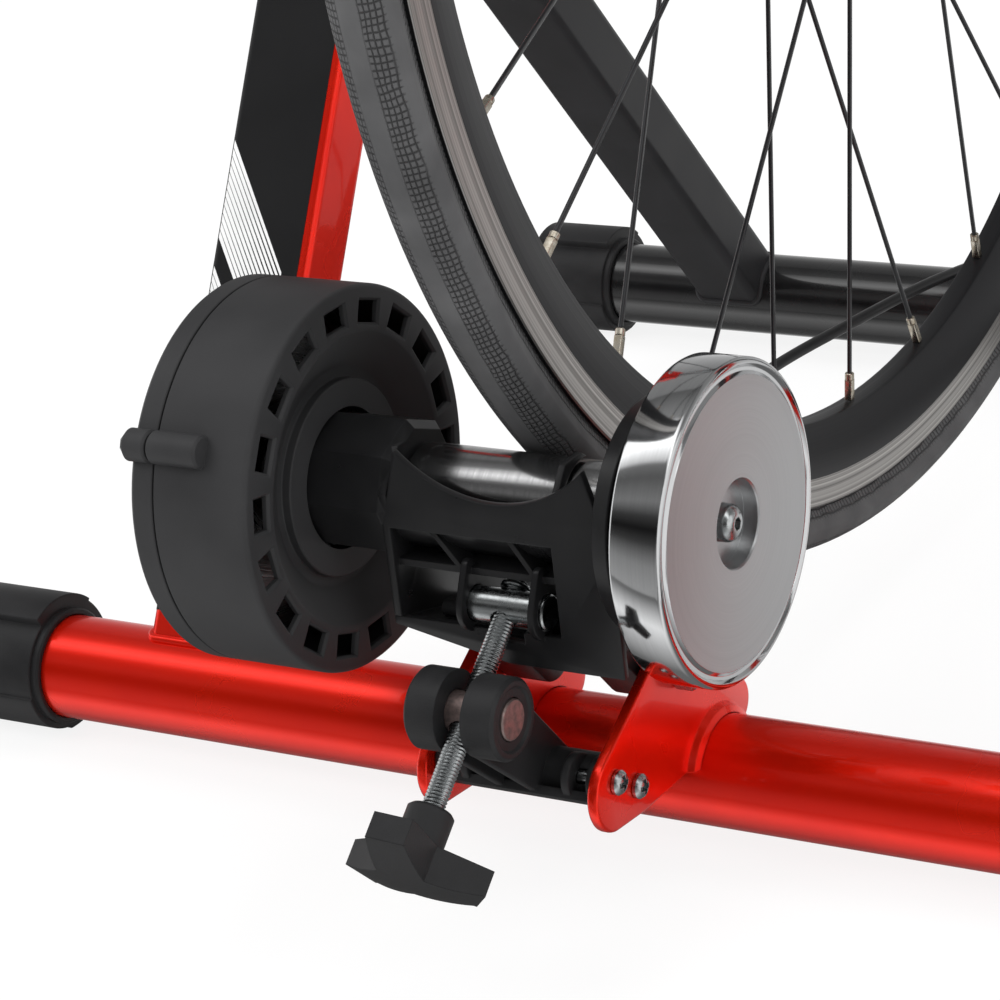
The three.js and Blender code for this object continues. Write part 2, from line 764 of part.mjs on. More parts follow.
function screwBracket() {
  const lug = [-lowerTrunnionBehind, lowerTrunnionAbove];
  const end = plateInner - gap;
  const padCircles = [
    [rearScrew[0], rearScrew[1], bracketPadRadius], [frontScrew[0], frontScrew[1], bracketPadRadius]];
  const pad = belt(padCircles);
  const arm = belt([...padCircles, [lug[0], lug[1], lugBossRadius]]);
  const solids = [rodX(bracketBarrelRadius, -end, end, roundSides, ...bracketAxis)];
  for (const sign of [-1, 1]) {
    const across = (first, second) => (sign < 0 ? [-Math.max(first, second), -Math.min(first, second)]
      : [Math.min(first, second), Math.max(first, second)]);
    const collar = end - bracketCollarInset;
    solids.push(plateX(pad, ...across(end - bracketPadThickness, end)));
    solids.push(plateX(pad, ...across(collar - bracketPadThickness, collar)));
    solids.push(rodX(lugBossRadius, ...across(lugInner, lugOuter), roundSides, ...lug));
    solids.push(plateX(arm, ...across(lugInner, lugInner + lugWeb)));
  }
  // Thin skin under the barrel
  const skinSpan = bracketScrewSpacing + bracketPadRadius;
  const skin = new THREE.BoxGeometry(2 * end, skinSpan, bracketSkinThickness).rotateX(-slope);
  const drop = bracketPadRadius - bracketSkinThickness / 2;
  solids.push(skin.translate(
    0, bracketAxis[0] - drop * Math.sin(slope), bracketAxis[1] - drop * Math.cos(slope)));
  const tools = [rodX(lowerTrunnionRadius + gap, -plateInner, plateInner, roundSides, ...lug)];
  const holeEnd = plateOuter + 2 * gap - bracketScrewLength - gap;
  for (const [y, z] of [rearScrew, frontScrew]) {
    for (const sign of [-1, 1]) {
      const [from, to] = sign < 0 ? [-plateOuter, -holeEnd] : [holeEnd, plateOuter];
      tools.push(rodX(bracketScrewRadius + gap, from, to, hexSides, y, z));
    }
  }
  piece('screw_bracket', cut(join(...solids), ...tools).translate(0, ...rearTube), blackPlastic());
}

function bracketScrews() {
  let number = 1;
  for (const [y, z] of [rearScrew, frontScrew]) {
    for (const sign of [-1, 1]) {
      const under = plateOuter + gap;
      const screw = turned([
        [under + gap - bracketScrewLength, 0], [under + gap - bracketScrewLength, bracketScrewRadius],
        [under, bracketScrewRadius], [under, bracketScrewHead],
        [under + bracketScrewHeadHeight / 2, bracketScrewHead],
        [under + bracketScrewHeadHeight, bracketScrewHead / 2], [under + bracketScrewHeadHeight, 0],
      ], hexSides);
      const geometry = sign < 0 ? mirrored(screw) : screw;
      piece(`bracket_screw_${number}`, geometry.translate(0, rearTube[0] + y, rearTube[1] + z), zinc());
      number += 1;
    }
  }
}

function pivotBolt() {
  const under = plateOuter + gap;
  const bolt = join(
    rodX(pivotBoltRadius, -under - pivotNutHeight, under + pivotNutHeight / 2 + gap, smallSides),
    rodX(pivotNutRadius, -under - pivotNutHeight / 2, -under, hexSides));
  piece('unit_pivot_bolt', bolt.translate(0, ...unitPivot), zinc());
  const nut = cut(
    rodX(pivotNutRadius, under, under + pivotNutHeight, hexSides),
    rodX(pivotBoltRadius + gap, under - overrun, under + pivotNutHeight / 2 + 2 * gap, smallSides));
  piece('unit_pivot_nut', nut.translate(0, ...unitPivot), zinc());
}

for (const [side, sign] of sides) unitPlate(side, sign);
screwBracket();
bracketScrews();
pivotBolt();

// Trunnions, adjusting screw and knob

function trunnion(name, radius, length, [y, z], holeRadius) {
  const body = rodX(radius, -length / 2, length / 2, roundSides, y, z);
  const reach = radius + overrun;
  const centre = new THREE.Vector3(0, y, z);
  const [from, to] = [-reach, reach].map((out) => centre.clone().addScaledVector(screwDirection, out));
  const hole = bar(from, to, holeRadius, roundSides);
  piece(name, cut(body, hole), zinc());
}

function adjustingScrew() {
  const circletStart = upperTrunnionRadius + gap;
  const screwEnd = screwReach + knobStemLength;
  const screw = join(
    bar(pointAlongScrew(-screwEndPast), pointAlongScrew(screwEnd), screwRadius, smallSides),
    bar(
      pointAlongScrew(-circletStart - screwCircletThickness), pointAlongScrew(-circletStart),
      screwCircletRadius, smallSides));
  piece('adjusting_screw', screw, zinc());
}

// Three flat-sided lobes round a stem, with a domed face; drawn along X and then turned onto the screw
function adjustingKnob() {
  const shape = new THREE.Shape();
  const half = knobLobeWidth / 2;
  const corner = half / Math.tan(Math.PI / knobLobes);
  for (let lobe = 0; lobe < knobLobes; lobe += 1) {
    const angle = 2 * Math.PI * lobe / knobLobes;
    const tip = knobTaperShare * half;
    const outline = [[corner, -half], [knobRadius, -tip], [knobRadius, tip], [corner, half]];
    outline.forEach(([out, across], index) => {
      const y = out * Math.cos(angle) - across * Math.sin(angle);
      const z = out * Math.sin(angle) + across * Math.cos(angle);
      if (lobe === 0 && index === 0) shape.moveTo(y, z);
      else shape.lineTo(y, z);
    });
  }
  shape.closePath();
  const domeTop = knobStemLength + knobThickness;
  const domeRadius = (knobRadius ** 2 + knobDome ** 2) / (2 * knobDome);
  const dome = [[-overrun, 0], [-overrun, 2 * knobRadius]];
  for (let step = 0; step <= crownSteps; step += 1) {
    const out = 2 * knobRadius * (1 - step / crownSteps);
    const reach = Math.min(out, knobRadius);
    dome.push([domeTop - domeRadius + Math.sqrt(domeRadius ** 2 - reach ** 2), out]);
  }
  const lobes = common(plateX(shape, knobStemLength, domeTop), turned(dome, largeSides));
  const stem = rodX(knobStemRadius, 0, knobStemLength + overrun, roundSides);
  const socket = rodX(screwRadius + gap, -overrun, knobStemLength + gap, smallSides);
  const knob = cut(join(lobes, stem), socket);
  const turn = new THREE.Quaternion().setFromUnitVectors(new THREE.Vector3(1, 0, 0), screwDirection);
  const start = pointAlongScrew(screwReach);
  piece('adjusting_knob', knob.applyQuaternion(turn).translate(start.x, start.y, start.z), blackPlastic());
}

const screwHole = screwRadius + screwClearance;
trunnion('upper_trunnion', upperTrunnionRadius, upperTrunnionLength, upperTrunnion, screwHole);
trunnion('lower_trunnion', lowerTrunnionRadius, 2 * lugOuter, lowerTrunnion, screwHole);
adjustingScrew();
adjustingKnob();

// Moulded cradle, given from the roller axis

const pivotFromRoller = [unitPivot[0] - roller[0], unitPivot[1] - roller[1]];
const cradleInner = cradleHalfWidth - cradleWall;
const pocketFloor = -cradleBandBottom - cradleWall - pocketHeight;

// Rear band: its top edge dips in an arc, so that the roller shows
function cradleBand() {
  const sag = cradleHornHeight - cradleDip;
  const hornHalf = cradleInner - sag / 3;
  const arcRadius = (hornHalf ** 2 + sag ** 2) / (2 * sag);
  const arcAngle = Math.asin(hornHalf / arcRadius);
  const shape = new THREE.Shape();
  shape.moveTo(-cradleBandBottom - cradleWall, -cradleHalfWidth);
  shape.lineTo(cradleHornHeight, -hornHalf);
  for (let step = 1; step < 2 * crownSteps; step += 1) {
    const angle = arcAngle * (step / crownSteps - 1);
    shape.lineTo(cradleDip + arcRadius * (1 - Math.cos(angle)), arcRadius * Math.sin(angle));
  }
  shape.lineTo(cradleHornHeight, hornHalf);
  shape.lineTo(-cradleBandBottom - cradleWall, cradleHalfWidth);
  return plateY(shape, -cradleRear, -cradleRear + cradleWall);
}

// Rear face below the pocket, with its slanted lower edge and the column on the right
function cradleLowerFace() {
  const shape = polygon([
    [-cradleSideDrop, -cradleHalfWidth], [-cradleSideDrop, columnX], [-cradleBandBottom, columnX],
    [-cradleBandBottom, cradleHalfWidth], [-cradleFloorDrop, cradleHalfWidth], [-cradleFloorDrop, 0],
    [-cradleSideDrop - cradleWall, -cradleHalfWidth],
  ]);
  return plateY(shape, -cradleRear, -cradleRear + cradleWall);
}

function cradleSideWall(fromX, thickness) {
  const outline = polygon([
    [-cradleRear, 2 * cradleBandBottom], [-cradleRear, -cradleSideDrop],
    [cradleFront / 2, -cradleFloorDrop], [cradleFront, -cradleFloorDrop],
    [cradleFront, cradleWall], [0, cradleFront], [-cradleRear / 2, cradleFront],
  ]);
  return plateX(outline, fromX, fromX + thickness);
}

// Diagonal ribs in the pocket behind the band
function pocketRibs() {
  const top = -cradleBandBottom;
  return pocketRibShares.map(([fromShare, toShare]) => {
    const lean = (toShare - fromShare) * cradleInner;
    const half = ribThickness / 2;
    const start = fromShare * cradleInner;
    return plateY(polygon([
      [top, start - half], [top, start + half],
      [pocketFloor, start + lean + half], [pocketFloor, start + lean - half],
    ]), -cradleRear + cradleWall, -cradleRear / 2);
  });
}

const bearingLeftX = cradleHalfWidth + ribThickness;
const bearingRightX = cradleInner + ribThickness;

function unitFrame() {
  const trough = pipeX(troughRadius + troughWall, troughRadius, -cradleInner, cradleInner, tubeSides);
  const above = 2 * troughRadius;
  const floorShape = polygon([
    [-cradleRear, -cradleSideDrop], [-cradleRear, -cradleSideDrop - cradleWall],
    [cradleFront / 2, -cradleFloorDrop], [cradleFront, -cradleFloorDrop],
    [cradleFront, -cradleFloorDrop + cradleWall], [cradleFront / 2, -cradleFloorDrop + cradleWall],
  ]);
  const housingLeft = -drumNearX - drumDishDepth;
  const housingRight = cradleHalfWidth + housingReachRight - bearingCoverThickness;
  const solids = [
    cradleBand(),
    cradleLowerFace(),
    cradleSideWall(-cradleHalfWidth, cradleWall),
    cradleSideWall(cradleInner, cradleWall),
    cradleSideWall(columnX, ribThickness),
    cut(trough, block(-cradleHalfWidth, cradleHalfWidth, -above, above, 0, above)),
    plateX(floorShape, -cradleInner, cradleInner),
    block(
      -cradleInner, columnX, -cradleRear + cradleWall, -cradleRear / 4,
      pocketFloor - ribThickness, pocketFloor),
    ...pocketRibs(),
    turned([
      [housingLeft, 0], [housingLeft, housingRadius], [-cradleHalfWidth, housingRadius],
      [-cradleInner, housingRadius - cradleWall], [-cradleInner, 0],
    ], housingSides),
    rodX(housingRadius, cradleInner, housingRight, roundSides),
  ];
  for (const sign of [-1, 1]) {
    const seat = belt([
      [-upperTrunnionBehind, -upperTrunnionBelow, trunnionSeatRadius],
      [cradleFront - cradleWall, -cradleFloorDrop + cradleWall, cradleWall],
      [-cradleRear + cradleWall, pocketFloor, cradleWall],
    ]);
    const ribX = sign * (upperTrunnionLength / 2 - ribThickness);
    solids.push(plateX(seat, ribX - ribThickness / 2, ribX + ribThickness / 2));
    const knuckle = belt([
      [pivotFromRoller[0], pivotFromRoller[1], knuckleRadius],
      [cradleFront - cradleWall, -cradleFloorDrop + 2 * cradleWall, knuckleRadius / 2],
      [-cradleRear / 2, -cradleSideDrop, cradleWall],
    ]);
    const from = sign > 0 ? knuckleInner : -knuckleOuter;
    solids.push(plateX(knuckle, from, from + knuckleOuter - knuckleInner));
  }
  const notch = screwRadius + cradleWall;
  const wheelHalf = tyreWidth / 2 + wheelClearance;
  const tools = [
    rodX(troughRadius, -cradleInner, cradleInner, tubeSides),
    rodX(shaftRadius + axlePlay, 2 * housingLeft, 2 * housingRight, roundSides),
    rodX(bearingRadius + gap, 2 * housingLeft, -bearingLeftX, roundSides),
    rodX(bearingRadius + gap, bearingRightX, 2 * housingRight, roundSides),
    rodX(pivotBoltRadius + gap, -plateInner, plateInner, roundSides, ...pivotFromRoller),
    rodX(
      upperTrunnionRadius + gap, -upperTrunnionLength / 2 - gap, upperTrunnionLength / 2 + gap, roundSides,
      -upperTrunnionBehind, -upperTrunnionBelow),
    block(
      -notch, notch, -2 * cradleRear, -cradleRear + 2 * cradleWall,
      -cradleSideDrop - screwRadius, -cradleSideDrop + screwRadius),
    rodX(tyreRadius + wheelClearance, -wheelHalf, wheelHalf, wheelSides, rollerBehindAxle, rollerDrop),
  ];
  piece('unit_frame', cut(join(...solids), ...tools).translate(0, ...roller), blackPlastic());
}

unitFrame();

function bearing(name, fromX) {
  const ring = pipeX(bearingRadius, shaftRadius + gap, fromX, fromX + bearingWidth, roundSides, ...roller);
  piece(name, ring, steel());
}

bearing('bearing_left', -bearingLeftX - bearingWidth - gap);
bearing('bearing_right', bearingRightX + gap);

const coverX = cradleHalfWidth + housingReachRight - bearingCoverThickness + gap;
const cover = turned([
  [coverX, shaftRadius + axlePlay], [coverX, bearingCoverRadius],
  [coverX + bearingCoverThickness - gap, bearingCoverRadius - coverBevel],
  [coverX + bearingCoverThickness - gap, shaftRadius + axlePlay], [coverX, shaftRadius + axlePlay],
], largeSides);
piece('bearing_cover', cover.translate(0, ...roller), blackPlastic());

// Drum: two shells that meet at a seam and are held by case screws in outside bosses

function drumBosses(fromX, toX, radius, sidesCount) {
  const bosses = [];
  for (let boss = 0; boss < drumBossCount; boss += 1) {
    const angle = radians(drumBossAngle + 360 * boss / drumBossCount);
    const out = drumRadius + drumBossStep;
    bosses.push(rodX(radius, fromX, toX, sidesCount, out * Math.cos(angle), out * Math.sin(angle)));
  }
  return bosses;
}

function drumInnerShell() {
  const seam = -drumSeamX + gap;
  const near = -drumNearX;
  const dish = near - drumDishDepth;
  const disc = dish + drumDiscHeight;
  const discBack = dish - drumWall;
  const drumBore = housingRadius + gap;
  const shell = turned([
    [seam, drumRadius - drumWall], [seam, drumRadius], [near - drumBevel, drumRadius],
    [near, drumRadius - drumBevel], [near, drumLandInner], [dish, drumDiscRadius + drumDiscHeight],
    [dish, drumDiscRadius], [disc, drumDiscRadius], [disc, drumBore],
    [discBack, drumBore], [discBack, drumDiscRadius + drumDiscHeight],
    [near - drumWall, drumLandInner], [near - drumWall, drumRadius - drumWall], [seam, drumRadius - drumWall],
  ], largeSides);
  const bosses = drumBosses(seam, seam + drumBossLength, drumBossRadius, smallSides);
  const inside = rodX(drumRadius - drumWall, seam - overrun, near - drumWall, largeSides);
  const outsideBosses = bosses.map((boss) => cut(boss, inside));
  const screwEnd = seam + drumBossLength - drumWall;
  const tools = drumBosses(seam - overrun, screwEnd, drumScrewRadius + gap, smallSides);
  const slotHalf = slotWidth / 2;
  for (let slot = 0; slot < slotCount; slot += 1) {
    const angle = 2 * Math.PI * (slot + 0.5) / slotCount;
    const opening = block(
      near - drumWall - overrun, near + overrun, slotInner, slotOuter, -slotHalf, slotHalf);
    tools.push(opening.rotateX(angle));
  }
  const drum = cut(join(shell, ...outsideBosses), ...tools);
  piece('drum_inner_shell', drum.translate(0, ...roller), blackPlastic());
}

function drumOuterShell() {
  const seam = -drumSeamX - gap;
  const far = -drumFarX;
  const face = far + drumWall;
  const shell = turned([
    [far, 0], [far, drumLandInner], [far + drumBevel, drumRadius - drumBevel],
    [far + 2 * drumBevel, drumRadius],
    [seam, drumRadius], [seam, drumRadius - drumWall], [face + drumBevel, drumRadius - drumWall],
    [face, drumLandInner], [face, 0],
  ], largeSides);
  const bosses = drumBosses(far + drumBevel, seam, drumBossRadius, smallSides);
  const inside = rodX(drumRadius - drumWall, face + drumBevel, seam + overrun, largeSides);
  const outsideBosses = bosses.map((boss) => cut(boss, inside));
  const tools = drumBosses(far - overrun, seam + overrun, drumScrewRadius + gap, smallSides);
  const drum = cut(join(shell, ...outsideBosses), ...tools);
  piece('drum_outer_shell', drum.translate(0, ...roller), blackPlastic());
}

function drumScrews() {
  const under = -drumFarX + drumBevel - gap;
  const profile = [
    [under - drumScrewHeadHeight, 0], [under - drumScrewHeadHeight, drumScrewHead / 2],
    [under - drumScrewHeadHeight / 2, drumScrewHead], [under, drumScrewHead], [under, drumScrewRadius],
    [under + drumScrewLength, drumScrewRadius], [under + drumScrewLength, 0],
  ];
  for (let boss = 0; boss < drumBossCount; boss += 1) {
    const angle = radians(drumBossAngle + 360 * boss / drumBossCount);
    const out = drumRadius + drumBossStep;
    const screw = turned(profile, smallSides).translate(0, out * Math.cos(angle), out * Math.sin(angle));
    piece(`drum_screw_${boss + 1}`, screw.translate(0, ...roller), zinc());
  }
}

const magnetRingX = -drumFarX + drumWall + drumBevel + gap;

function magnetRing() {
  const face = magnetRingX + magnetRingThickness;
  const solids = [pipeX(magnetRingOuter, magnetRingInner, magnetRingX, face, tubeSides)];
  const out = (magnetRingOuter + magnetRingInner) / 2;
  for (let magnet = 0; magnet < magnetCount; magnet += 1) {
    const angle = 2 * Math.PI * magnet / magnetCount;
    const puck = rodX(
      magnetRadius, face - magnetThickness / 2, face + magnetThickness, hexSides,
      out * Math.cos(angle), out * Math.sin(angle));
    solids.push(puck);
  }
  piece('magnet_ring', join(...solids).translate(0, ...roller), steel());
}

drumInnerShell();
drumOuterShell();
drumScrews();
magnetRing();

// Spindle: rotor disc, shaft, roller and flywheel

const rotorX = magnetRingX + magnetRingThickness + magnetThickness + magnetGap;
const flywheelFloorX = flywheelOuterX - flywheelRecessDepth;
const shaftEndX = flywheelFloorX - flywheelWeb - gap;

const rotor = turned([
  [rotorX, shaftRadius + gap], [rotorX, rotorRadius], [rotorX + rotorThickness, rotorRadius],
  [rotorX + rotorThickness, rotorHub], [rotorX + rotorHubLength, shaftRadius + rotorHubLip],
  [rotorX + rotorHubLength, shaftRadius + gap], [rotorX, shaftRadius + gap],
], tubeSides);
piece('rotor_disc', rotor.translate(0, ...roller), steel());

const shaftBore = rodX(
  flywheelScrewRadius + gap, shaftEndX - flywheelScrewLength, shaftEndX + overrun, smallSides);
const shaft = cut(rodX(shaftRadius, rotorX, shaftEndX, roundSides), shaftBore);
piece('roller_shaft', shaft.translate(0, ...roller), steel());

const rollerHalf = rollerLength / 2;
const rollerBody = turned([
  [-rollerHalf, shaftRadius + gap], [-rollerHalf, rollerRadius], [rollerHalf, rollerRadius],
  [rollerHalf, shaftRadius + gap], [-rollerHalf, shaftRadius + gap],
], largeSides);
piece('roller', rollerBody.translate(0, ...roller), steel());

function flywheel() {
  const bead = flywheelRadius - flywheelBead;
  const groove = flywheelOuterX - flywheelGroove;
  const body = turned([
    [flywheelInnerX, shaftRadius + gap], [flywheelInnerX, flywheelRadius],
    [flywheelOuterX - flywheelBead / 2, flywheelRadius], [flywheelOuterX, bead + flywheelBead / 3],
    [groove, bead], [groove, bead - flywheelGrooveWidth / 2], [flywheelOuterX, bead - flywheelGrooveWidth],
    [flywheelOuterX, flywheelRecess], [flywheelFloorX, flywheelRecess],
    [flywheelFloorX, flywheelScrewRadius + gap], [flywheelFloorX - flywheelWeb, flywheelScrewRadius + gap],
    [flywheelFloorX - flywheelWeb, shaftRadius + gap], [flywheelInnerX, shaftRadius + gap],
  ], largeSides);
  piece('flywheel', body.translate(0, ...roller), chrome());
  const under = flywheelFloorX + gap;
  const screw = turned([
    [under - flywheelScrewLength, 0], [under - flywheelScrewLength, flywheelScrewRadius],
    [under, flywheelScrewRadius], [under, flywheelScrewHead],
    [under + flywheelScrewHeadHeight / 3, flywheelScrewHead],
    [under + screwCrownHeightShare * flywheelScrewHeadHeight, screwCrownWidthShare * flywheelScrewHead],
    [under + flywheelScrewHeadHeight, flywheelScrewHead / 3], [under + flywheelScrewHeadHeight, 0],
  ], smallSides);
  piece('flywheel_screw', screw.translate(0, ...roller), zinc());
}

flywheel();

// Wheel, turned about the axle

const rimBedRadius = rimRadius - rimDepth;
const rimHalf = rimWidth / 2;
const tyreMiddle = rimRadius + (tyreRadius - rimRadius) * crownShare;

// Half-round from one bead to the other, as [x, radius] points
function crownLine(halfWidth, height, steps) {
  const line = [];
  for (let step = 0; step <= steps; step += 1) {
    const angle = Math.PI * step / steps;
    line.push([-halfWidth * Math.cos(angle), tyreMiddle + height * Math.sin(angle)]);
  }
  return line;
}

function tyre() {
  const half = tyreWidth / 2;
  const beadRadius = rimRadius - beadLift;
  const seat = rimHalf - rimWall - gap;
  const crown = tyreRadius - tyreMiddle;
  const neck = rimRadius + gap;
  const profile = [
    [-seat, beadRadius], [-seat, neck],
    ...crownLine(half, crown, crownSteps), [seat, neck], [seat, beadRadius],
    [seat - tyreWall, beadRadius], ...crownLine(half - tyreWall, crown - tyreWall, crownSteps / 2).reverse(),
    [-seat + tyreWall, beadRadius], [-seat, beadRadius],
  ];
  piece('tyre', turned(profile, wheelSides).translate(0, 0, axleHeight), rubber());
}

function innerTube() {
  const radius = tyreRadius - tyreMiddle - tyreWall - gap;
  const ring = [];
  for (let step = 0; step <= ringSteps; step += 1) {
    const angle = 2 * Math.PI * step / ringSteps;
    ring.push([-tubeShare * radius * Math.cos(angle), tyreMiddle + tubeShare * radius * Math.sin(angle)]);
  }
  const valve = bar(
    new THREE.Vector3(0, 0, rimBedRadius - valveReach), new THREE.Vector3(0, 0, tyreMiddle),
    valveRadius, hexSides);
  piece('inner_tube', join(turned(ring, wheelSides), valve).translate(0, 0, axleHeight), rubber());
}

function rim() {
  const track = rimRadius - brakeTrackHeight;
  const bedHalf = spokeBedWidth / 2;
  const well = rimRadius - rimWellDepth;
  const inner = rimHalf - rimWall;
  const section = turned([
    [-bedHalf, rimBedRadius], [-rimHalf, track], [-rimHalf, rimRadius], [-inner, rimRadius], [-inner, well],
    [inner, well], [inner, rimRadius], [rimHalf, rimRadius], [rimHalf, track], [bedHalf, rimBedRadius],
    [-bedHalf, rimBedRadius],
  ], wheelSides);
  const floor = well - rimWall;
  const bed = rimBedRadius + 2 * rimWall;
  const box = turned([
    [-bedHalf + rimWall, bed], [-inner, floor], [inner, floor], [bedHalf - rimWall, bed],
    [-bedHalf + rimWall, bed],
  ], wheelSides);
  const valveHole = bar(
    new THREE.Vector3(0, 0, rimBedRadius - overrun), new THREE.Vector3(0, 0, rimRadius),
    valveRadius + gap, hexSides);
  piece('rim', cut(section, box, valveHole).translate(0, 0, axleHeight), blackAlloy());
}

// Flat blade or square rod between two points, with its broad side in the plane of the wheel
function blade(from, to, breadth, thickness) {
  const along = new THREE.Vector3().subVectors(to, from);
  const length = along.length();
  along.normalize();
  const face = new THREE.Vector3().crossVectors(along, new THREE.Vector3(1, 0, 0)).normalize();
  const edge = new THREE.Vector3().crossVectors(face, along);
  const middle = new THREE.Vector3().addVectors(from, to).multiplyScalar(0.5);
  return new THREE.BoxGeometry(breadth, length, thickness)
    .applyMatrix4(new THREE.Matrix4().makeBasis(face, along, edge)).translate(middle.x, middle.y, middle.z);
}

// Hub shell with both flanges and its laced spokes; each spoke ends in its nipple at the rim.
// Of the spokes on a flange, those that lean back lie on its outer face, the others on its inner face.
function spokedHub() {
  const holeRadius = flangeRadius - flangeHoleInset;
  const hubBore = axleRadius + axlePlay;
  const half = flangeThickness / 2;
  const shell = turned([
    [-hubEnd, hubBore], [-hubEnd, hubRadius], [-leftFlangeX - half, hubRadius],
    [-leftFlangeX - half, flangeRadius], [-leftFlangeX + half, flangeRadius],
    [-leftFlangeX + half, hubRadius], [rightFlangeX - half, hubRadius],
    [rightFlangeX - half, flangeRadius], [rightFlangeX + half, flangeRadius],
    [rightFlangeX + half, hubBore], [-hubEnd, hubBore],
  ], roundSides);
  const solids = [shell];
  const perFlange = spokeCount / 2;
  const crossAngle = 2 * Math.PI * spokeCross / perFlange;
  for (let spoke = 0; spoke < spokeCount; spoke += 1) {
    const angle = radians(firstSpokeAngle) + 2 * Math.PI * spoke / spokeCount;
    const right = spoke % 2 === 0;
    const back = right ? spoke % 4 === 0 : spoke % 4 === 1;
    const holeAngle = angle + (back ? -crossAngle : crossAngle);
    const flangeX = right ? rightFlangeX : -leftFlangeX;
    const faceX = flangeX + (back === right ? half : -half);
    const hole = new THREE.Vector3(
      faceX, holeRadius * Math.sin(holeAngle), -holeRadius * Math.cos(holeAngle));
    const radial = new THREE.Vector3(0, Math.sin(angle), -Math.cos(angle));
    const end = radial.clone().multiplyScalar(rimBedRadius * Math.cos(Math.PI / wheelSides) - 2 * gap);
    const nippleStart = end.clone().lerp(hole, nippleLength / end.distanceTo(hole));
    const seated = nippleStart.clone().lerp(end, seatShare);
    solids.push(blade(hole, seated, spokeBreadth, spokeThickness));
    solids.push(blade(nippleStart, end, nippleSize, nippleSize));
  }
  piece('spoked_hub', join(...solids).translate(0, 0, axleHeight), blackAlloy());
}

// Sprockets on the freewheel body, the largest next to the spokes
function cassette() {
  const start = rightFlangeX + flangeThickness + sprocketSpacing;
  const end = start + sprocketCount * sprocketSpacing;
  const boreRadius = axleRadius + axlePlay;
  const solids = [rodX(freewheelRadius, start, end, roundSides)];
  for (let index = 0; index < sprocketCount; index += 1) {
    const teeth = smallestSprocketTeeth + (sprocketCount - 1 - index) * sprocketToothStep;
    const pitchRadius = chainLinkLength / (2 * Math.sin(Math.PI / teeth));
    const shape = new THREE.Shape();
    for (let corner = 0; corner < 2 * teeth; corner += 1) {
      const angle = Math.PI * corner / teeth;
      const radius = pitchRadius + (corner % 2 === 0 ? toothHeight : -toothHeight) / 2;
      if (corner === 0) shape.moveTo(radius, 0);
      else shape.lineTo(radius * Math.cos(angle), radius * Math.sin(angle));
    }
    shape.closePath();
    const x = start + index * sprocketSpacing;
    solids.push(plateX(shape, x, x + sprocketThickness));
  }
  const bore = rodX(boreRadius, start - overrun, end + overrun, roundSides);
  piece('sprocket_cassette', cut(join(...solids), bore).translate(0, 0, axleHeight), steel());
}

function axle() {
  const end = dropoutWidth / 2;
  const nut = end + axleNutLength;
  const half = [
    [end - locknutThickness, axleRadius], [end - locknutThickness, locknutRadius], [end, locknutRadius],
    [end, axleNutRadius], [nut - axleNutTip, axleNutRadius], [nut, axleNutTip], [nut, 0],
  ];
  const other = half.map(([x, radius]) => [-x, radius]).reverse();
  piece('axle', turned([...other, ...half], roundSides).translate(0, 0, axleHeight), zinc());
}

tyre();
innerTube();
rim();
spokedHub();
cassette();
axle();

// The origin lies on the floor in the middle of the footprint; the cable and what is on it don't count there
const reach = new THREE.Box3().setFromObject(trainer);
trainer.position.y = -(reach.min.y + reach.max.y) / 2;

// Cable that sets the magnets: a gland on the drum, a free run over the front tube, a coil and a thumb lever

const glandDirection = new THREE.Vector3(0, Math.cos(radians(glandAngle)), Math.sin(radians(glandAngle)));
const glandFoot = new THREE.Vector3(-glandX, roller[0], roller[1])
  .addScaledVector(glandDirection, drumRadius + gap);

function cableGland() {
  const gland = turned([
    [0, 0], [0, glandRootRadius], [glandLength / 4, glandRootRadius], [glandLength, glandTipRadius],
    [glandLength, 0],
  ], roundSides);
  const turn = new THREE.Quaternion().setFromUnitVectors(new THREE.Vector3(1, 0, 0), glandDirection);
  piece('cable_gland', gland.applyQuaternion(turn).translate(...glandFoot), rubber());
}

function cableRun() {
  const start = [glandLength + gap, glandLength + gap + 2 * cableRadius]
    .map((out) => glandFoot.clone().addScaledVector(glandDirection, out));
  const route = cableRoute.map(([x, y, z]) => new THREE.Vector3(x, y, z));
  const end = [4 * cableRadius, 2 * cableRadius + gap]
    .map((back) => new THREE.Vector3(coilX, coilY - back, cableRadius));
  const curve = new THREE.CatmullRomCurve3([...start, ...route, ...end]);
  const sectionEnd = 2 * Math.PI * (smallSides - 1) / smallSides;
  const section = polygon(arcPoints([0, 0, cableRadius], 0, sectionEnd, smallSides - 1));
  const run = new THREE.ExtrudeGeometry(
    section, { steps: cableRunSteps, extrudePath: curve, bevelEnabled: false });
  console.log(`cable run ${curve.getLength().toFixed(1)} mm`);
  piece('cable_run', run, rubber());
}

// Two layers of turns: the lower one spirals in, the upper one out, and the half turn between them climbs
function coilPath() {
  const turns = 2 * coilLayerTurns + coilClimbTurns;
  const outer = coilInnerRadius + coilTurnSpacing * turns / 2;
  const steps = turns * coilLoopSteps;
  const points = [new THREE.Vector3(coilX, coilY - 2 * cableRadius, cableRadius)];
  for (let step = 0; step <= steps; step += 1) {
    const turn = turns * step / steps;
    const fromMiddle = turn - turns / 2;
    const radius = coilInnerRadius + coilTurnSpacing * Math.abs(fromMiddle);
    const climb = THREE.MathUtils.smoothstep(fromMiddle, -coilClimbTurns / 2, coilClimbTurns / 2);
    const angle = Math.PI - 2 * Math.PI * turn;
    points.push(new THREE.Vector3(
      coilX + outer + radius * Math.cos(angle), coilY + radius * Math.sin(angle),
      cableRadius + coilTurnSpacing * climb));
  }
  const last = points[points.length - 1];
  points.push(new THREE.Vector3(last.x, last.y - coilTail, last.z));
  return points;
}

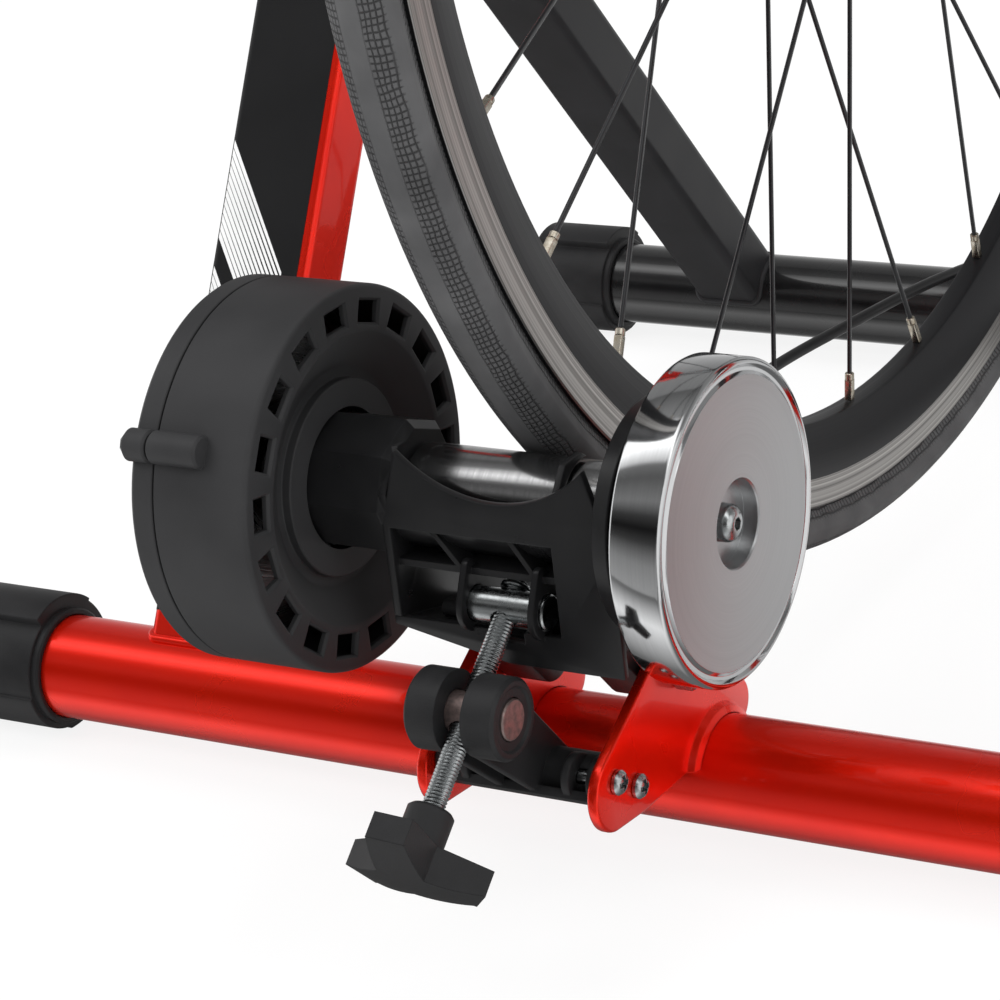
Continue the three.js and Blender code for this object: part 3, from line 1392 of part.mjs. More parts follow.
// Least distance between points of the coil that lie over half a turn apart, less the cable's thickness
function leastGap(points) {
  let least = Infinity;
  for (let first = 0; first < points.length; first += 1) {
    for (let second = first + coilLoopSteps / 2; second < points.length; second += 1) {
      least = Math.min(least, points[first].distanceTo(points[second]));
    }
  }
  return least - 2 * cableRadius;
}

function cableCoil() {
  const path = coilPath();
  const positions = [];
  const faces = [];
  const up = new THREE.Vector3(0, 0, 1);
  path.forEach((point, index) => {
    const before = path[Math.max(index - 1, 0)];
    const after = path[Math.min(index + 1, path.length - 1)];
    const across = new THREE.Vector3().subVectors(after, before).cross(up).normalize();
    for (let side = 0; side < coilSides; side += 1) {
      const angle = 2 * Math.PI * side / coilSides;
      const corner = point.clone()
        .addScaledVector(across, cableRadius * Math.cos(angle))
        .addScaledVector(up, cableRadius * Math.sin(angle));
      positions.push(corner.x, corner.y, corner.z);
      if (index > 0) {
        const next = (side + 1) % coilSides;
        const [near, far] = [(index - 1) * coilSides, index * coilSides];
        faces.push(near + side, far + side, far + next, near + side, far + next, near + next);
      }
    }
  });
  const lastRing = (path.length - 1) * coilSides;
  for (let side = 1; side < coilSides - 1; side += 1) {
    faces.push(0, side, side + 1, lastRing, lastRing + side + 1, lastRing + side);
  }
  const coil = new THREE.BufferGeometry();
  coil.setAttribute('position', new THREE.Float32BufferAttribute(positions, 3));
  coil.setIndex(faces);
  console.log(`least gap of the coil to itself ${leastGap(path).toFixed(2)} mm`);
  piece('cable_coil', coil, rubber());
  return path[path.length - 1];
}

// The lever lies flat beside the coil: a housing with a saddle for the handlebar, and a thumb arm on its boss
function remoteLever(cableEnd) {
  const front = cableEnd.y - gap;
  const centreY = front - remoteLength / 2;
  const body = new THREE.ExtrudeGeometry(
    roundedRectangle(remoteWidth, remoteLength, remoteCorner), { depth: remoteHeight, bevelEnabled: false });
  const zRod = (radius, fromZ, toZ, sides, y = 0) => (
    new THREE.CylinderGeometry(radius, radius, toZ - fromZ, sides)
      .rotateX(Math.PI / 2).translate(0, y, (fromZ + toZ) / 2));
  const bossTop = remoteHeight + remoteBossHeight;
  const bar = zRod(
    handlebarRadius, -overrun, remoteHeight + overrun, tubeSides,
    saddleDepth - remoteLength / 2 - handlebarRadius);
  const boss = zRod(remoteBossRadius, remoteHeight / 2, bossTop, roundSides);
  const pin = zRod(remotePinRadius, remoteHeight, bossTop + remotePinHeight, smallSides);
  const housing = join(cut(body, bar), boss, pin);
  piece('remote_housing', housing.translate(cableEnd.x, centreY, 0), blackPlastic());
  const outline = belt([
    [0, 0, remoteBossRadius], [remoteArmLength, 0, remoteArmTipRadius]]);
  const plate = new THREE.ExtrudeGeometry(outline, { depth: remoteArmThickness, bevelEnabled: false });
  const from = bossTop + gap;
  const arm = cut(
    plate.translate(0, 0, from), zRod(remotePinRadius + gap, from - overrun, from + overrun, smallSides));
  piece('remote_arm', arm.translate(cableEnd.x, centreY, 0), blackPlastic());
}

cableGland();
cableRun();
remoteLever(cableCoil());

export default trainer;
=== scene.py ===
# Folding magnetic turbo trainer with a road wheel on its roller, in a white studio.
# Lengths are in millimetres and angles in degrees unless a name says otherwise.
# X is the roller's axis, Y runs forward and Z up.

import bmesh
import bpy
import json
import math
from mathutils import Matrix, Vector

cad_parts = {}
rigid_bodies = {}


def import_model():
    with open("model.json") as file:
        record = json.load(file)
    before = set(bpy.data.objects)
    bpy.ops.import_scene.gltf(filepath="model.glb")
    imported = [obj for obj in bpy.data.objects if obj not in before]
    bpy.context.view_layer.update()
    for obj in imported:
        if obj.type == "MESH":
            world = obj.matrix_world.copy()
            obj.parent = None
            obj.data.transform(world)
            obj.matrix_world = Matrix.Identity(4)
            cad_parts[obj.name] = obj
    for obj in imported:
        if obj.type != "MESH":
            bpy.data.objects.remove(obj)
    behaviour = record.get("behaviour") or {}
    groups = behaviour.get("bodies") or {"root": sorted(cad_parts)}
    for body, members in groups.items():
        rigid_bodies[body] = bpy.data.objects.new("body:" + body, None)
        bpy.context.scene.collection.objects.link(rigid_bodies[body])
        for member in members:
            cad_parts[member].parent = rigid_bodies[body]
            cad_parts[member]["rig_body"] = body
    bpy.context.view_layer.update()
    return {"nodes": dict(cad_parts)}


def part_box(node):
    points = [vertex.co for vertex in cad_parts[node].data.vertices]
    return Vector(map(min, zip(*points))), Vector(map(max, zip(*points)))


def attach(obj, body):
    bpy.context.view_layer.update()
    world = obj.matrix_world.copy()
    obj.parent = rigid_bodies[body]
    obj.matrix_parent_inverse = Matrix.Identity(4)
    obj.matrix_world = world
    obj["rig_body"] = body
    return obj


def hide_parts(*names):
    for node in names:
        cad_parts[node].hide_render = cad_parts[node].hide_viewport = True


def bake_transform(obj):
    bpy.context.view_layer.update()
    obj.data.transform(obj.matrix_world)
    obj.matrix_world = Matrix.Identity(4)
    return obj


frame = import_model()
scene = bpy.context.scene
scene.view_settings.view_transform = "Standard"
mm = 0.001  # one millimetre, in Blender's metres
gap = 0.3  # play between neighbours
overrun = 6  # how far a tool runs past the face that it cuts
clearDepth = 60  # how far a tool runs past a whole piece
drumRadius = 66.3  # here because the cable's gland stands on the drum

# Places that many pieces share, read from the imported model


def middleOf(node):
    low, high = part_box(node)
    return (low + high) / 2 / mm


def centreOf(node):
    return tuple(middleOf(node))[1:]


def offsetOf(place, start):
    return place[0] - start[0], place[1] - start[1]


roller = centreOf("roller")
rearTube = centreOf("rear_base_tube")
frontTube = centreOf("front_base_tube")
axle = centreOf("axle")
foldPivot = centreOf("fold_bolt_left")
unitPivot = centreOf("unit_pivot_nut")
upperTrunnion = centreOf("upper_trunnion")
lowerTrunnion = centreOf("lower_trunnion")
screwDirection = Vector((0, *offsetOf(lowerTrunnion, upperTrunnion))).normalized()
sides = (("left", -1), ("right", 1))

# Solids are built in millimetres and kept in metres


def build(points, faces):
    mesh = bpy.data.meshes.new("solid")
    mesh.from_pydata([Vector(point) * mm for point in points], [], faces)
    solid = bpy.data.objects.new("solid", mesh)
    scene.collection.objects.link(solid)
    work = bmesh.new()
    work.from_mesh(mesh)
    bmesh.ops.remove_doubles(work, verts=work.verts, dist=1e-6)
    bmesh.ops.recalc_face_normals(work, faces=work.faces)
    work.to_mesh(mesh)
    work.free()
    return solid


# Skin over rings of points; its ends are capped, joined to each other, or open where they run to a point
def loft(rings, ends="capped"):
    steps = len(rings[0])
    faces = []
    for ring in range(len(rings) if ends == "joined" else len(rings) - 1):
        near, far = ring * steps, (ring + 1) % len(rings) * steps
        for step in range(steps):
            after = (step + 1) % steps
            faces.append((near + step, near + after, far + after, far + step))
    if ends == "capped":
        faces += [tuple(range(steps)), tuple(range((len(rings) - 1) * steps, len(rings) * steps))]
    return build([point for ring in rings for point in ring], faces)


def polar(radius, angle, centre=(0, 0)):
    return centre[0] + radius * math.cos(angle), centre[1] + radius * math.sin(angle)


# Place out from an axis and across it, turned by an angle
def spun(out, across, angle):
    return out * math.cos(angle) - across * math.sin(angle), out * math.sin(angle) + across * math.cos(angle)


def fullTurn(steps):
    return [2 * math.pi * step / steps for step in range(steps)]


# Profile of (x, radius) turned about an axis along X; one that starts off the axis closes on itself
def turned(profile, steps, centre=(0, 0)):
    rings = [[(x, *polar(radius, angle, centre)) for angle in fullTurn(steps)] for x, radius in profile]
    return loft(rings, "joined" if profile[0][1] > 0 else "open")


def rod(radius, fromX, toX, steps=64, centre=(0, 0), bevel=0):
    low, high = min(fromX, toX), max(fromX, toX)
    return turned([
        (low, 0), (low, radius - bevel), (low + bevel, radius), (high - bevel, radius),
        (high, radius - bevel), (high, 0)], steps, centre)


def pipe(outer, inner, fromX, toX, steps=64, centre=(0, 0), bevel=0):
    return turned([
        (fromX, inner), (fromX, outer - bevel), (fromX + bevel, outer), (toX - bevel, outer),
        (toX, outer - bevel), (toX, inner)], steps, centre)


# Cutting rod that runs well past both sides of a piece
def drill(radius, centre=(0, 0), x=0, steps=64):
    return rod(radius, x - clearDepth, x + clearDepth, steps, centre)


# Outline of two-dimensional points drawn out between two depths
def drawn(outline, low, high, place):
    return loft([[place(a, b, depth) for a, b in outline] for depth in (low, high)])


def plateX(outline, fromX, toX, centre=(0, 0)):
    return drawn(outline, fromX, toX, lambda y, z, x: (x, y + centre[0], z + centre[1]))


def plateY(outline, fromY, toY, centre=(0, 0)):
    return drawn(outline, fromY, toY, lambda x, z, y: (x, y + centre[0], z + centre[1]))


def plateZ(outline, fromZ, toZ, place=(0, 0)):
    return drawn(outline, fromZ, toZ, lambda x, y, z: (x + place[0], y + place[1], z))


def block(fromX, toX, fromY, toY, fromZ, toZ, centre=(0, 0)):
    outline = [(fromY, fromZ), (toY, fromZ), (toY, toZ), (fromY, toZ)]
    return plateX(outline, fromX, toX, centre)


def arc(centre, radius, start, end, steps):
    return [polar(radius, start + (end - start) * step / steps, centre) for step in range(steps + 1)]


# Outline of a belt laid round circles (y, z, radius) that are listed anticlockwise
def belt(circles, steps=72):
    count = len(circles)
    normals = []
    for index, (y, z, radius) in enumerate(circles):
        nextY, nextZ, nextRadius = circles[(index + 1) % count]
        distance = math.hypot(nextY - y, nextZ - z)
        normals.append(math.atan2(nextZ - z, nextY - y) - math.acos((radius - nextRadius) / distance))
    outline = []
    for index, (y, z, radius) in enumerate(circles):
        start = normals[index - 1]
        end = normals[index]
        while end < start:
            end += 2 * math.pi
        outline += arc((y, z), radius, start, end, max(1, math.ceil(steps * (end - start) / (2 * math.pi))))
    return outline


def roundedRectangle(width, height, corner, steps=8):
    outline = []
    for index, (x, y) in enumerate(((1, 1), (-1, 1), (-1, -1), (1, -1))):
        centre = (x * (width / 2 - corner), y * (height / 2 - corner))
        outline += arc(centre, corner, index * math.pi / 2, (index + 1) * math.pi / 2, steps)
    return outline


# Section drawn out from a foot along a direction in the Y-Z plane; its width lies along X
def beam(outline, foot, direction, length):
    face = direction.cross(Vector((1, 0, 0)))
    start = Vector(foot)
    return drawn(
        outline, 0, length, lambda a, b, along: start + Vector((a, 0, 0)) + b * face + along * direction)


# Solid made along X at the origin, turned so that X becomes a direction and moved to a place
def aimed(solid, direction, place):
    turn = Vector((1, 0, 0)).rotation_difference(Vector(direction)).to_matrix().to_4x4()
    solid.data.transform(Matrix.Translation(Vector(place) * mm) @ turn)
    return solid


def bar(start, end, radius, steps=48, bevel=0):
    span = Vector(end) - Vector(start)
    return aimed(rod(radius, 0, span.length, steps, bevel=bevel), span.normalized(), start)


def rodZ(radius, fromZ, toZ, place, steps=64, bevel=0):
    return bar((place[0], place[1], fromZ), (place[0], place[1], toZ), radius, steps, bevel)


def mirrored(solid):
    solid.data.transform(Matrix.Scale(-1, 4, Vector((1, 0, 0))))
    solid.data.flip_normals()
    return solid


def onSide(solid, sign):
    return mirrored(solid) if sign < 0 else solid


def moved(solid, centre, x=0):
    solid.data.transform(Matrix.Translation(Vector((x, *centre)) * mm))
    return solid


def settled(solid):
    shape = bpy.data.meshes.new_from_object(solid.evaluated_get(bpy.context.evaluated_depsgraph_get()))
    solid.modifiers.clear()
    solid.data = shape
    return solid


def eased(solid, width, segments=3, angle=35):
    edge = solid.modifiers.new("edge", "BEVEL")
    edge.width = width * mm
    edge.segments = segments
    edge.limit_method = "ANGLE"
    edge.angle_limit = math.radians(angle)
    return settled(solid)


def combine(base, tools, operation):
    for tool in tools:
        step = base.modifiers.new("step", "BOOLEAN")
        step.object = tool
        step.operation = operation
        step.solver = "MANIFOLD"
    settled(base)
    for tool in tools:
        bpy.data.objects.remove(tool)
    return base


def join(base, *others):
    return combine(base, others, "UNION")


def cut(base, *tools):
    return combine(base, tools, "DIFFERENCE")


def common(base, other):
    return combine(base, [other], "INTERSECT")


def hexPrism(radius, fromX, toX, centre=(0, 0), bevel=0.5):
    prism = turned([(fromX, 0), (fromX, radius), (toX, radius), (toX, 0)], 6, centre)
    dome = turned([
        (fromX, 0), (fromX, radius - 2 * bevel), (fromX + bevel, radius + 0.01), (toX - bevel, radius + 0.01),
        (toX, radius - 2 * bevel), (toX, 0)], 64, centre)
    return common(prism, dome)


# Round tube that follows a route, with closed ends
def tube(route, radius, steps):
    rings = []
    across = Vector((1, 0, 0))
    for index, point in enumerate(route):
        along = (route[min(index + 1, len(route) - 1)] - route[max(index - 1, 0)]).normalized()
        across = (across - across.dot(along) * along).normalized()
        other = along.cross(across)
        turns = [(math.cos(angle), math.sin(angle)) for angle in fullTurn(steps)]
        rings.append([point + radius * (a * across + b * other) for a, b in turns])
    return loft(rings)


# Rod with a real helical thread: its ridge and groove climb together as one surface
def threadedRod(radius, fromX, toX, pitch, depth, plainStart=0.0, plainEnd=0.0, steps=32, perTurn=6):
    count = math.ceil((toX - fromX) / pitch * perTurn)
    rings = []
    for number in range(count + 1):
        x = fromX + (toX - fromX) * number / count
        fade = min(1, max(0, (x - fromX - plainStart) / pitch), max(0, (toX - plainEnd - x) / pitch))
        sunk = [depth * abs(2 * ((x / pitch - step / steps) % 1) - 1) for step in range(steps)]
        rings.append([(x, *polar(radius - deep * fade, angle)) for deep, angle in zip(sunk, fullTurn(steps))])
    return loft(rings)


# Bladed bar between two points with rounded edges; its broad side lies in the plane of the wheel
def blade(start, end, breadth, thickness, corner):
    along = end - start
    length = along.length
    along = along.normalized()
    face = along.cross(Vector((1, 0, 0))).normalized()
    edge = face.cross(along)
    outline = roundedRectangle(breadth, thickness, corner, 3)
    return drawn(outline, 0, length, lambda a, b, d: start + a * face + b * edge + d * along)


# One mesh out of several solids, each with its own material
def gathered(parts):
    points = []
    faces = []
    finishes = []
    for solid, material in parts:
        start = len(points)
        points += [tuple(vertex.co) for vertex in solid.data.vertices]
        for polygon in solid.data.polygons:
            faces.append([start + corner for corner in polygon.vertices])
            finishes.append(material)
        bpy.data.objects.remove(solid)
    mesh = bpy.data.meshes.new("gathered")
    mesh.from_pydata(points, [], faces)
    kinds = list(dict.fromkeys(finishes))
    for material in kinds:
        mesh.materials.append(material)
    mesh.polygons.foreach_set("material_index", [kinds.index(material) for material in finishes])
    whole = bpy.data.objects.new("gathered", mesh)
    scene.collection.objects.link(whole)
    return whole


# Names a piece, gives it its finish and lets it ride with the nodes that it stands for or lies on
def finished(solid, name, material, nodes=(), on=None, sharp=32):
    solid.name = name
    solid.data.name = name
    if material:
        solid.data.materials.clear()
        solid.data.materials.append(material)
    solid.data.shade_smooth()
    solid.data.set_sharp_from_angle(angle=math.radians(sharp))
    host = on or nodes[0]
    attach(solid, frame["nodes"][host]["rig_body"])
    if nodes:
        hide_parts(*nodes)
    return solid


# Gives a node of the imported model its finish
def dressed(node, material):
    slots = frame["nodes"][node].data.materials
    slots.clear()
    slots.append(material)


# Materials


def linear(colour):
    channels = [int(colour[start:start + 2], 16) / 255 for start in (1, 3, 5)]
    return [c / 12.92 if c <= 0.04045 else ((c + 0.055) / 1.055) ** 2.4 for c in channels] + [1]


def put(tree, kind, sockets=None, **settings):
    node = tree.nodes.new("ShaderNode" + kind)
    for name, value in settings.items():
        setattr(node, name, value)
    for socket, value in (sockets or {}).items():
        if isinstance(value, bpy.types.NodeSocket):
            tree.links.new(value, node.inputs[socket])
        else:
            node.inputs[socket].default_value = value
    return node


def newMaterial(name):
    material = bpy.data.materials.new(name)
    material.use_nodes = True
    material.node_tree.nodes.clear()
    return material


# Along the axis, out from it and the angle round it, all but the last in metres
def roundAxis(tree, place, centre):
    parts = put(tree, "SeparateXYZ", {0: place})
    y = put(tree, "Math", {0: parts.outputs[1], 1: centre[0] * mm}, operation="SUBTRACT").outputs[0]
    z = put(tree, "Math", {0: parts.outputs[2], 1: centre[1] * mm}, operation="SUBTRACT").outputs[0]
    across = put(tree, "CombineXYZ", {1: y, 2: z}).outputs[0]
    out = put(tree, "VectorMath", {0: across}, operation="LENGTH").outputs["Value"]
    angle = put(tree, "Math", {0: z, 1: y}, operation="ARCTAN2").outputs[0]
    return parts.outputs[0], out, angle


noiseRange = {"From Min": 0.3, "From Max": 0.7}  # noise seldom leaves it


# The common surface: slow patches of tone, a change of gloss, fine relief and softened edges.
# Patch and grain are the widths of the marks and depth is their height; edge rounds off sharp edges.
# Where an axis is given, the fine relief runs round it in lines, as a lathe or a grinder leaves it.
def surface(name, colour, other, gloss, relief, shader, edge=0.0, axis=None, extra=None):
    material = newMaterial(name)
    tree = material.node_tree
    place = put(tree, "TexCoord").outputs["Object"]
    patches = put(tree, "TexNoise", {
        "Vector": place, "Scale": 1000 / relief["patch"], "Detail": 3}).outputs[0]
    fine = place
    if axis:
        along, out, angle = roundAxis(tree, place, axis)
        slow = put(tree, "Math", {0: angle, 1: relief["grain"] * mm / 4}, operation="MULTIPLY").outputs[0]
        fine = put(tree, "CombineXYZ", {0: along, 1: out, 2: slow}).outputs[0]
    grain = put(tree, "TexNoise", {"Vector": fine, "Scale": 1000 / relief["grain"], "Detail": 2}).outputs[0]
    mottle = grain if axis else patches
    share = put(tree, "MapRange", {"Value": mottle, **noiseRange}).outputs[0]
    tone = put(tree, "Mix", {0: share, 6: linear(colour), 7: linear(other)}, data_type="RGBA").outputs[2]
    spread = put(tree, "MapRange", {
        "Value": mottle, **noiseRange, "To Min": gloss[0], "To Max": gloss[1]}).outputs[0]
    base = {"Height": grain, "Distance": relief["depth"] * mm, "Strength": 1.0}
    if edge:
        base["Normal"] = put(tree, "Bevel", {"Radius": edge * mm}, samples=4).outputs[0]
    normal = put(tree, "Bump", base).outputs[0]
    if extra:
        tone, spread, normal = extra(tree, place, tone, spread, normal)
    sockets = {"Base Color": tone, "Roughness": spread, "Normal": normal}
    sockets.update(shader)
    bsdf = put(tree, "BsdfPrincipled", sockets).outputs[0]
    put(tree, "OutputMaterial", {"Surface": bsdf})
    return material


# Candy lacquer sprayed on steel: a bright metal ground under deep red, so lit parts turn orange
candyRed = surface(
    "candyLacquerSprayedOnSteel", "#fa2406", "#f01c04", (0.25, 0.32),
    {"patch": 40, "grain": 0.5, "depth": 0.004},
    {"Metallic": 0.74, "Coat Weight": 0.4, "Coat Roughness": 0.04, "Coat IOR": 1.45}, edge=0.8)

# Black enamel sprayed on steel: a smooth wet gloss with slight orange peel
blackGloss = surface(
    "blackEnamelSprayedOnSteel", "#0c0c0d", "#111112", (0.22, 0.3),
    {"patch": 30, "grain": 2.5, "depth": 0.006},
    {"Metallic": 0.0, "Coat Weight": 1.0, "Coat Roughness": 0.05}, edge=0.8)

# Black powder coat: satin, with a fine even grain
blackSatin = surface(
    "blackPowderCoatOnSteel", "#222223", "#28282a", (0.36, 0.46),
    {"patch": 24, "grain": 0.8, "depth": 0.012},
    {"Specular IOR Level": 0.26}, edge=0.8)

# Glass-filled nylon from a polished mould: half gloss, with flow marks
cradleNylon = surface(
    "glassFilledNylonPolishedMould", "#161617", "#1b1b1c", (0.26, 0.4),
    {"patch": 18, "grain": 1.2, "depth": 0.012},
    {"Specular IOR Level": 0.3}, edge=0.6)

# Glass-filled nylon from an etched mould: dull and even, with a fine grain
drumNylon = surface(
    "glassFilledNylonEtchedMould", "#2c2c2d", "#333334", (0.46, 0.56),
    {"patch": 30, "grain": 0.6, "depth": 0.02},
    {"Specular IOR Level": 0.2}, edge=0.5)

# Nylon from a sparked mould: a coarser leather-like grain for grip
gripNylon = surface(
    "nylonSparkedMould", "#1e1e1f", "#262627", (0.4, 0.52),
    {"patch": 12, "grain": 0.9, "depth": 0.045},
    {"Specular IOR Level": 0.22}, edge=0.6)

# Zinc plate on turned steel: bright, with a faint mottle of crystals
zincPlate = surface(
    "zincPlatedTurnedSteel", "#c9cccd", "#a9adae", (0.16, 0.34),
    {"patch": 5, "grain": 0.7, "depth": 0.012},
    {"Metallic": 1.0}, edge=0.3)

# Mild steel cut with a saw: reddish grey, dull, with short tool marks
sawnSteel = surface(
    "mildSteelSawnEnd", "#a08b86", "#766a68", (0.34, 0.55),
    {"patch": 2.4, "grain": 0.8, "depth": 0.06},
    {"Metallic": 0.85}, edge=0.3)

# Steel ground between centres: fine lines run round it, drawn coarser than real so that they show
groundSteel = surface(
    "steelGroundOnCentres", "#b4b4b4", "#a6a6a7", (0.14, 0.22),
    {"patch": 30, "grain": 0.35, "depth": 0.0012},
    {"Metallic": 1.0}, edge=0.3, axis=roller)

# Chromed rim of the flywheel, turned and polished
chromedRim = surface(
    "chromedSteelPolished", "#d4d5d6", "#cfd0d1", (0.08, 0.1),
    {"patch": 30, "grain": 0.5, "depth": 0.0006},
    {"Metallic": 1.0}, edge=0.3, axis=roller)

# The flywheel's face: turned finely before the chrome, so it spreads the light in a soft sweep
chromedFace = surface(
    "chromedSteelFineTurned", "#bebfc0", "#b9babb", (0.31, 0.33),
    {"patch": 40, "grain": 0.5, "depth": 0.002},
    {"Metallic": 1.0}, edge=0.3, axis=roller)

# Plain turned steel of the shaft, rotor, bearings, magnets and sprockets
turnedSteel = surface(
    "steelTurned", "#9a9a9b", "#858586", (0.24, 0.36),
    {"patch": 8, "grain": 0.5, "depth": 0.006},
    {"Metallic": 1.0}, edge=0.3, axis=roller)

# Stainless spokes, blackened
blackSpoke = surface(
    "stainlessSteelBlackened", "#17181a", "#202124", (0.25, 0.36),
    {"patch": 10, "grain": 0.5, "depth": 0.004},
    {"Metallic": 0.6, "Coat Weight": 0.4, "Coat Roughness": 0.15}, edge=0.2)

# Brass nipples, nickel plated and a little worn to the brass
nickelBrass = surface(
    "nickelPlatedBrass", "#c8c2b6", "#aba08c", (0.2, 0.36),
    {"patch": 2, "grain": 0.4, "depth": 0.002},
    {"Metallic": 1.0}, edge=0.2)

# Aluminium rim, anodised black over a bead-blasted skin
anodisedRim = surface(
    "aluminiumAnodisedBlack", "#1d1d1f", "#252527", (0.34, 0.46),
    {"patch": 20, "grain": 0.5, "depth": 0.01},
    {"Metallic": 0.55}, edge=0.3, axis=axle)

# Brake track, machined bare: grey with dark lines that run round the rim, drawn coarser to show
machinedTrack = surface(
    "aluminiumMachinedBrakeTrack", "#c2bfbb", "#7b7977", (0.26, 0.5),
    {"patch": 3, "grain": 0.9, "depth": 0.02},
    {"Metallic": 0.9}, axis=axle)

# Butyl rubber inner tube and the moulded gland
plainRubber = surface(
    "butylRubberMoulded", "#202021", "#2a2a2b", (0.55, 0.7),
    {"patch": 10, "grain": 0.8, "depth": 0.03},
    {"Specular IOR Level": 0.4}, edge=0.4)

# Polyvinyl sheath drawn over a steel cable housing: smooth and faintly shiny
cableSheath = surface(
    "polyvinylSheathExtruded", "#161617", "#1c1c1d", (0.3, 0.42),
    {"patch": 12, "grain": 1.5, "depth": 0.01},
    {"Specular IOR Level": 0.5})

# Nylon from a coarsely sparked mould: rough sparkling grain on the band behind the flywheel
coarseNylon = surface(
    "nylonCoarselySparkedMould", "#1c1c1d", "#38383a", (0.3, 0.5),
    {"patch": 0.9, "grain": 0.8, "depth": 0.14},
    {"Specular IOR Level": 0.6}, edge=0.4)

# Printed vinyl panel on the leg, satin
printedBlack = surface(
    "vinylFilmPrinted", "#121213", "#171718", (0.5, 0.6),
    {"patch": 30, "grain": 0.6, "depth": 0.003},
    {"Specular IOR Level": 0.22})
printedWhite = surface(
    "vinylFilmPrintedWhite", "#e4e4e4", "#d4d4d4", (0.34, 0.44),
    {"patch": 30, "grain": 0.6, "depth": 0.003},
    {"Specular IOR Level": 0.5})

tread = {
    "from": 3.4, "to": 10.6, "fade": 0.8, "pitch": 2.4, "row": 1.5, "groove": 0.2, "depth": 0.5,
    "radius": 330, "waver": 9}


# File tread on the shoulders: rows of small blocks between fine grooves, and smooth rubber elsewhere; the
# grooves also get painted shade, their tone darkened down to 0.3
def fileTread(tree, place, tone, spread, normal):
    along, out, angle = roundAxis(tree, place, axle)
    across = put(tree, "Math", {0: along}, operation="ABSOLUTE").outputs[0]
    low = put(tree, "MapRange", {
        "Value": across, "From Min": tread["from"] * mm, "From Max": (tread["from"] + tread["fade"]) * mm})
    high = put(tree, "MapRange", {
        "Value": across, "From Min": tread["to"] * mm, "From Max": (tread["to"] - tread["fade"]) * mm})
    band = put(tree, "Math", {0: low.outputs[0], 1: high.outputs[0]}, operation="MULTIPLY").outputs[0]
    wobble = put(tree, "TexNoise", {"Vector": place, "Scale": 1000 / tread["waver"], "Detail": 2}).outputs[0]
    grooves = []
    for value, pitch in ((angle, tread["pitch"] / tread["radius"]), (across, tread["row"] * mm)):
        count = put(tree, "Math", {0: value, 1: 1 / pitch}, operation="MULTIPLY").outputs[0]
        bent = put(tree, "Math", {0: wobble, 1: 0.9, 2: count}, operation="MULTIPLY_ADD").outputs[0]
        wave = put(tree, "Math", {0: bent, 1: 0.5}, operation="PINGPONG").outputs[0]
        grooves.append(put(tree, "MapRange", {"Value": wave, "From Max": tread["groove"]}).outputs[0])
    blocks = put(tree, "Math", {0: grooves[0], 1: grooves[1]}, operation="MINIMUM").outputs[0]
    sunk = put(tree, "Math", {0: blocks, 1: 1}, operation="SUBTRACT").outputs[0]
    height = put(tree, "Math", {0: sunk, 1: band}, operation="MULTIPLY").outputs[0]
    relief = put(tree, "Bump", {
        "Height": height, "Distance": tread["depth"] * mm, "Strength": 1.0, "Normal": normal}).outputs[0]
    # painted shade: the colour is darkened to 0.3 where the tread is sunk into grooves
    paintedGrooveShade = put(tree, "MapRange", {"Value": height, "From Min": -1, "From Max": 0, "To Min": 0.3}).outputs[0]
    toneWithGrooveShade = put(tree, "VectorMath", {0: tone, "Scale": paintedGrooveShade}, operation="SCALE").outputs[0]
    return toneWithGrooveShade, spread, relief


# Road tyre rubber: dull grey-black, dusty, with moulded file tread on the shoulders
tyreRubber = surface(
    "roadTyreRubberMoulded", "#525253", "#424243", (0.6, 0.78),
    {"patch": 26, "grain": 1.0, "depth": 0.05},
    {"Specular IOR Level": 0.4}, extra=fileTread)

print("materials made")

# Camera, where the photograph was taken from

camera = {
    "place": (574.684, -1135.266, 573.61), "heading": 33.3319, "tilt": 22.1026, "roll": -7.1031,
    "lens": 125.298}


def makeCamera():
    heading, tilt, roll = (math.radians(camera[key]) for key in ("heading", "tilt", "roll"))
    level = math.cos(tilt)
    forward = Vector((-math.sin(heading) * level, math.cos(heading) * level, -math.sin(tilt)))
    side = forward.cross(Vector((0, 0, 1))).normalized()
    up = side.cross(forward)
    right = math.cos(roll) * side + math.sin(roll) * up
    top = math.cos(roll) * up - math.sin(roll) * side
    turn = Matrix((right, top, -forward)).transposed().to_4x4()
    data = bpy.data.cameras.new("camera")
    data.lens = camera["lens"]
    data.sensor_width = 36
    data.clip_start = 0.01
    data.clip_end = 50
    eye = bpy.data.objects.new("camera", data)
    scene.collection.objects.link(eye)
    eye.matrix_world = Matrix.Translation(Vector(camera["place"]) * mm) @ turn
    scene.camera = eye


makeCamera()

# Cable: out of the drum's gland, over the front tube and along the floor to its coil and the thumb lever

glandShape = {"x": -88, "angle": -47, "length": 16, "root": 5.6, "tip": 3.7, "ribs": 4, "ribDepth": 0.6}
cable = {
    "radius": 2.5, "coilX": -60, "coilY": 351.134, "coilInner": 21, "layerTurns": 3, "climbTurns": 0.5,
    "spacing": 5.45, "loopSteps": 48, "tail": 32, "tailSteps": 8, "sectionSides": 16, "runStep": 4}
cableRoute = [
    (-88, -154.866, 67), (-89, -118.866, 63), (-91, -53.866, 57), (-92, 21.134, 52.5), (-90, 105.734, 51.1),
    (-80, 153.034, 52.2), (-68, 205.734, 52.6), (-63, 230.134, 51), (-60, 252.234, 47.7),
    (-60, 277.134, 38.5), (-60, 298.134, 18), (-60, 314.134, 6.5), (-60, 329.134, 3.1)]
glandDirection = Vector((0, *polar(1, math.radians(glandShape["angle"]))))
glandFoot = Vector((glandShape["x"], *roller)) + (drumRadius + gap) * glandDirection


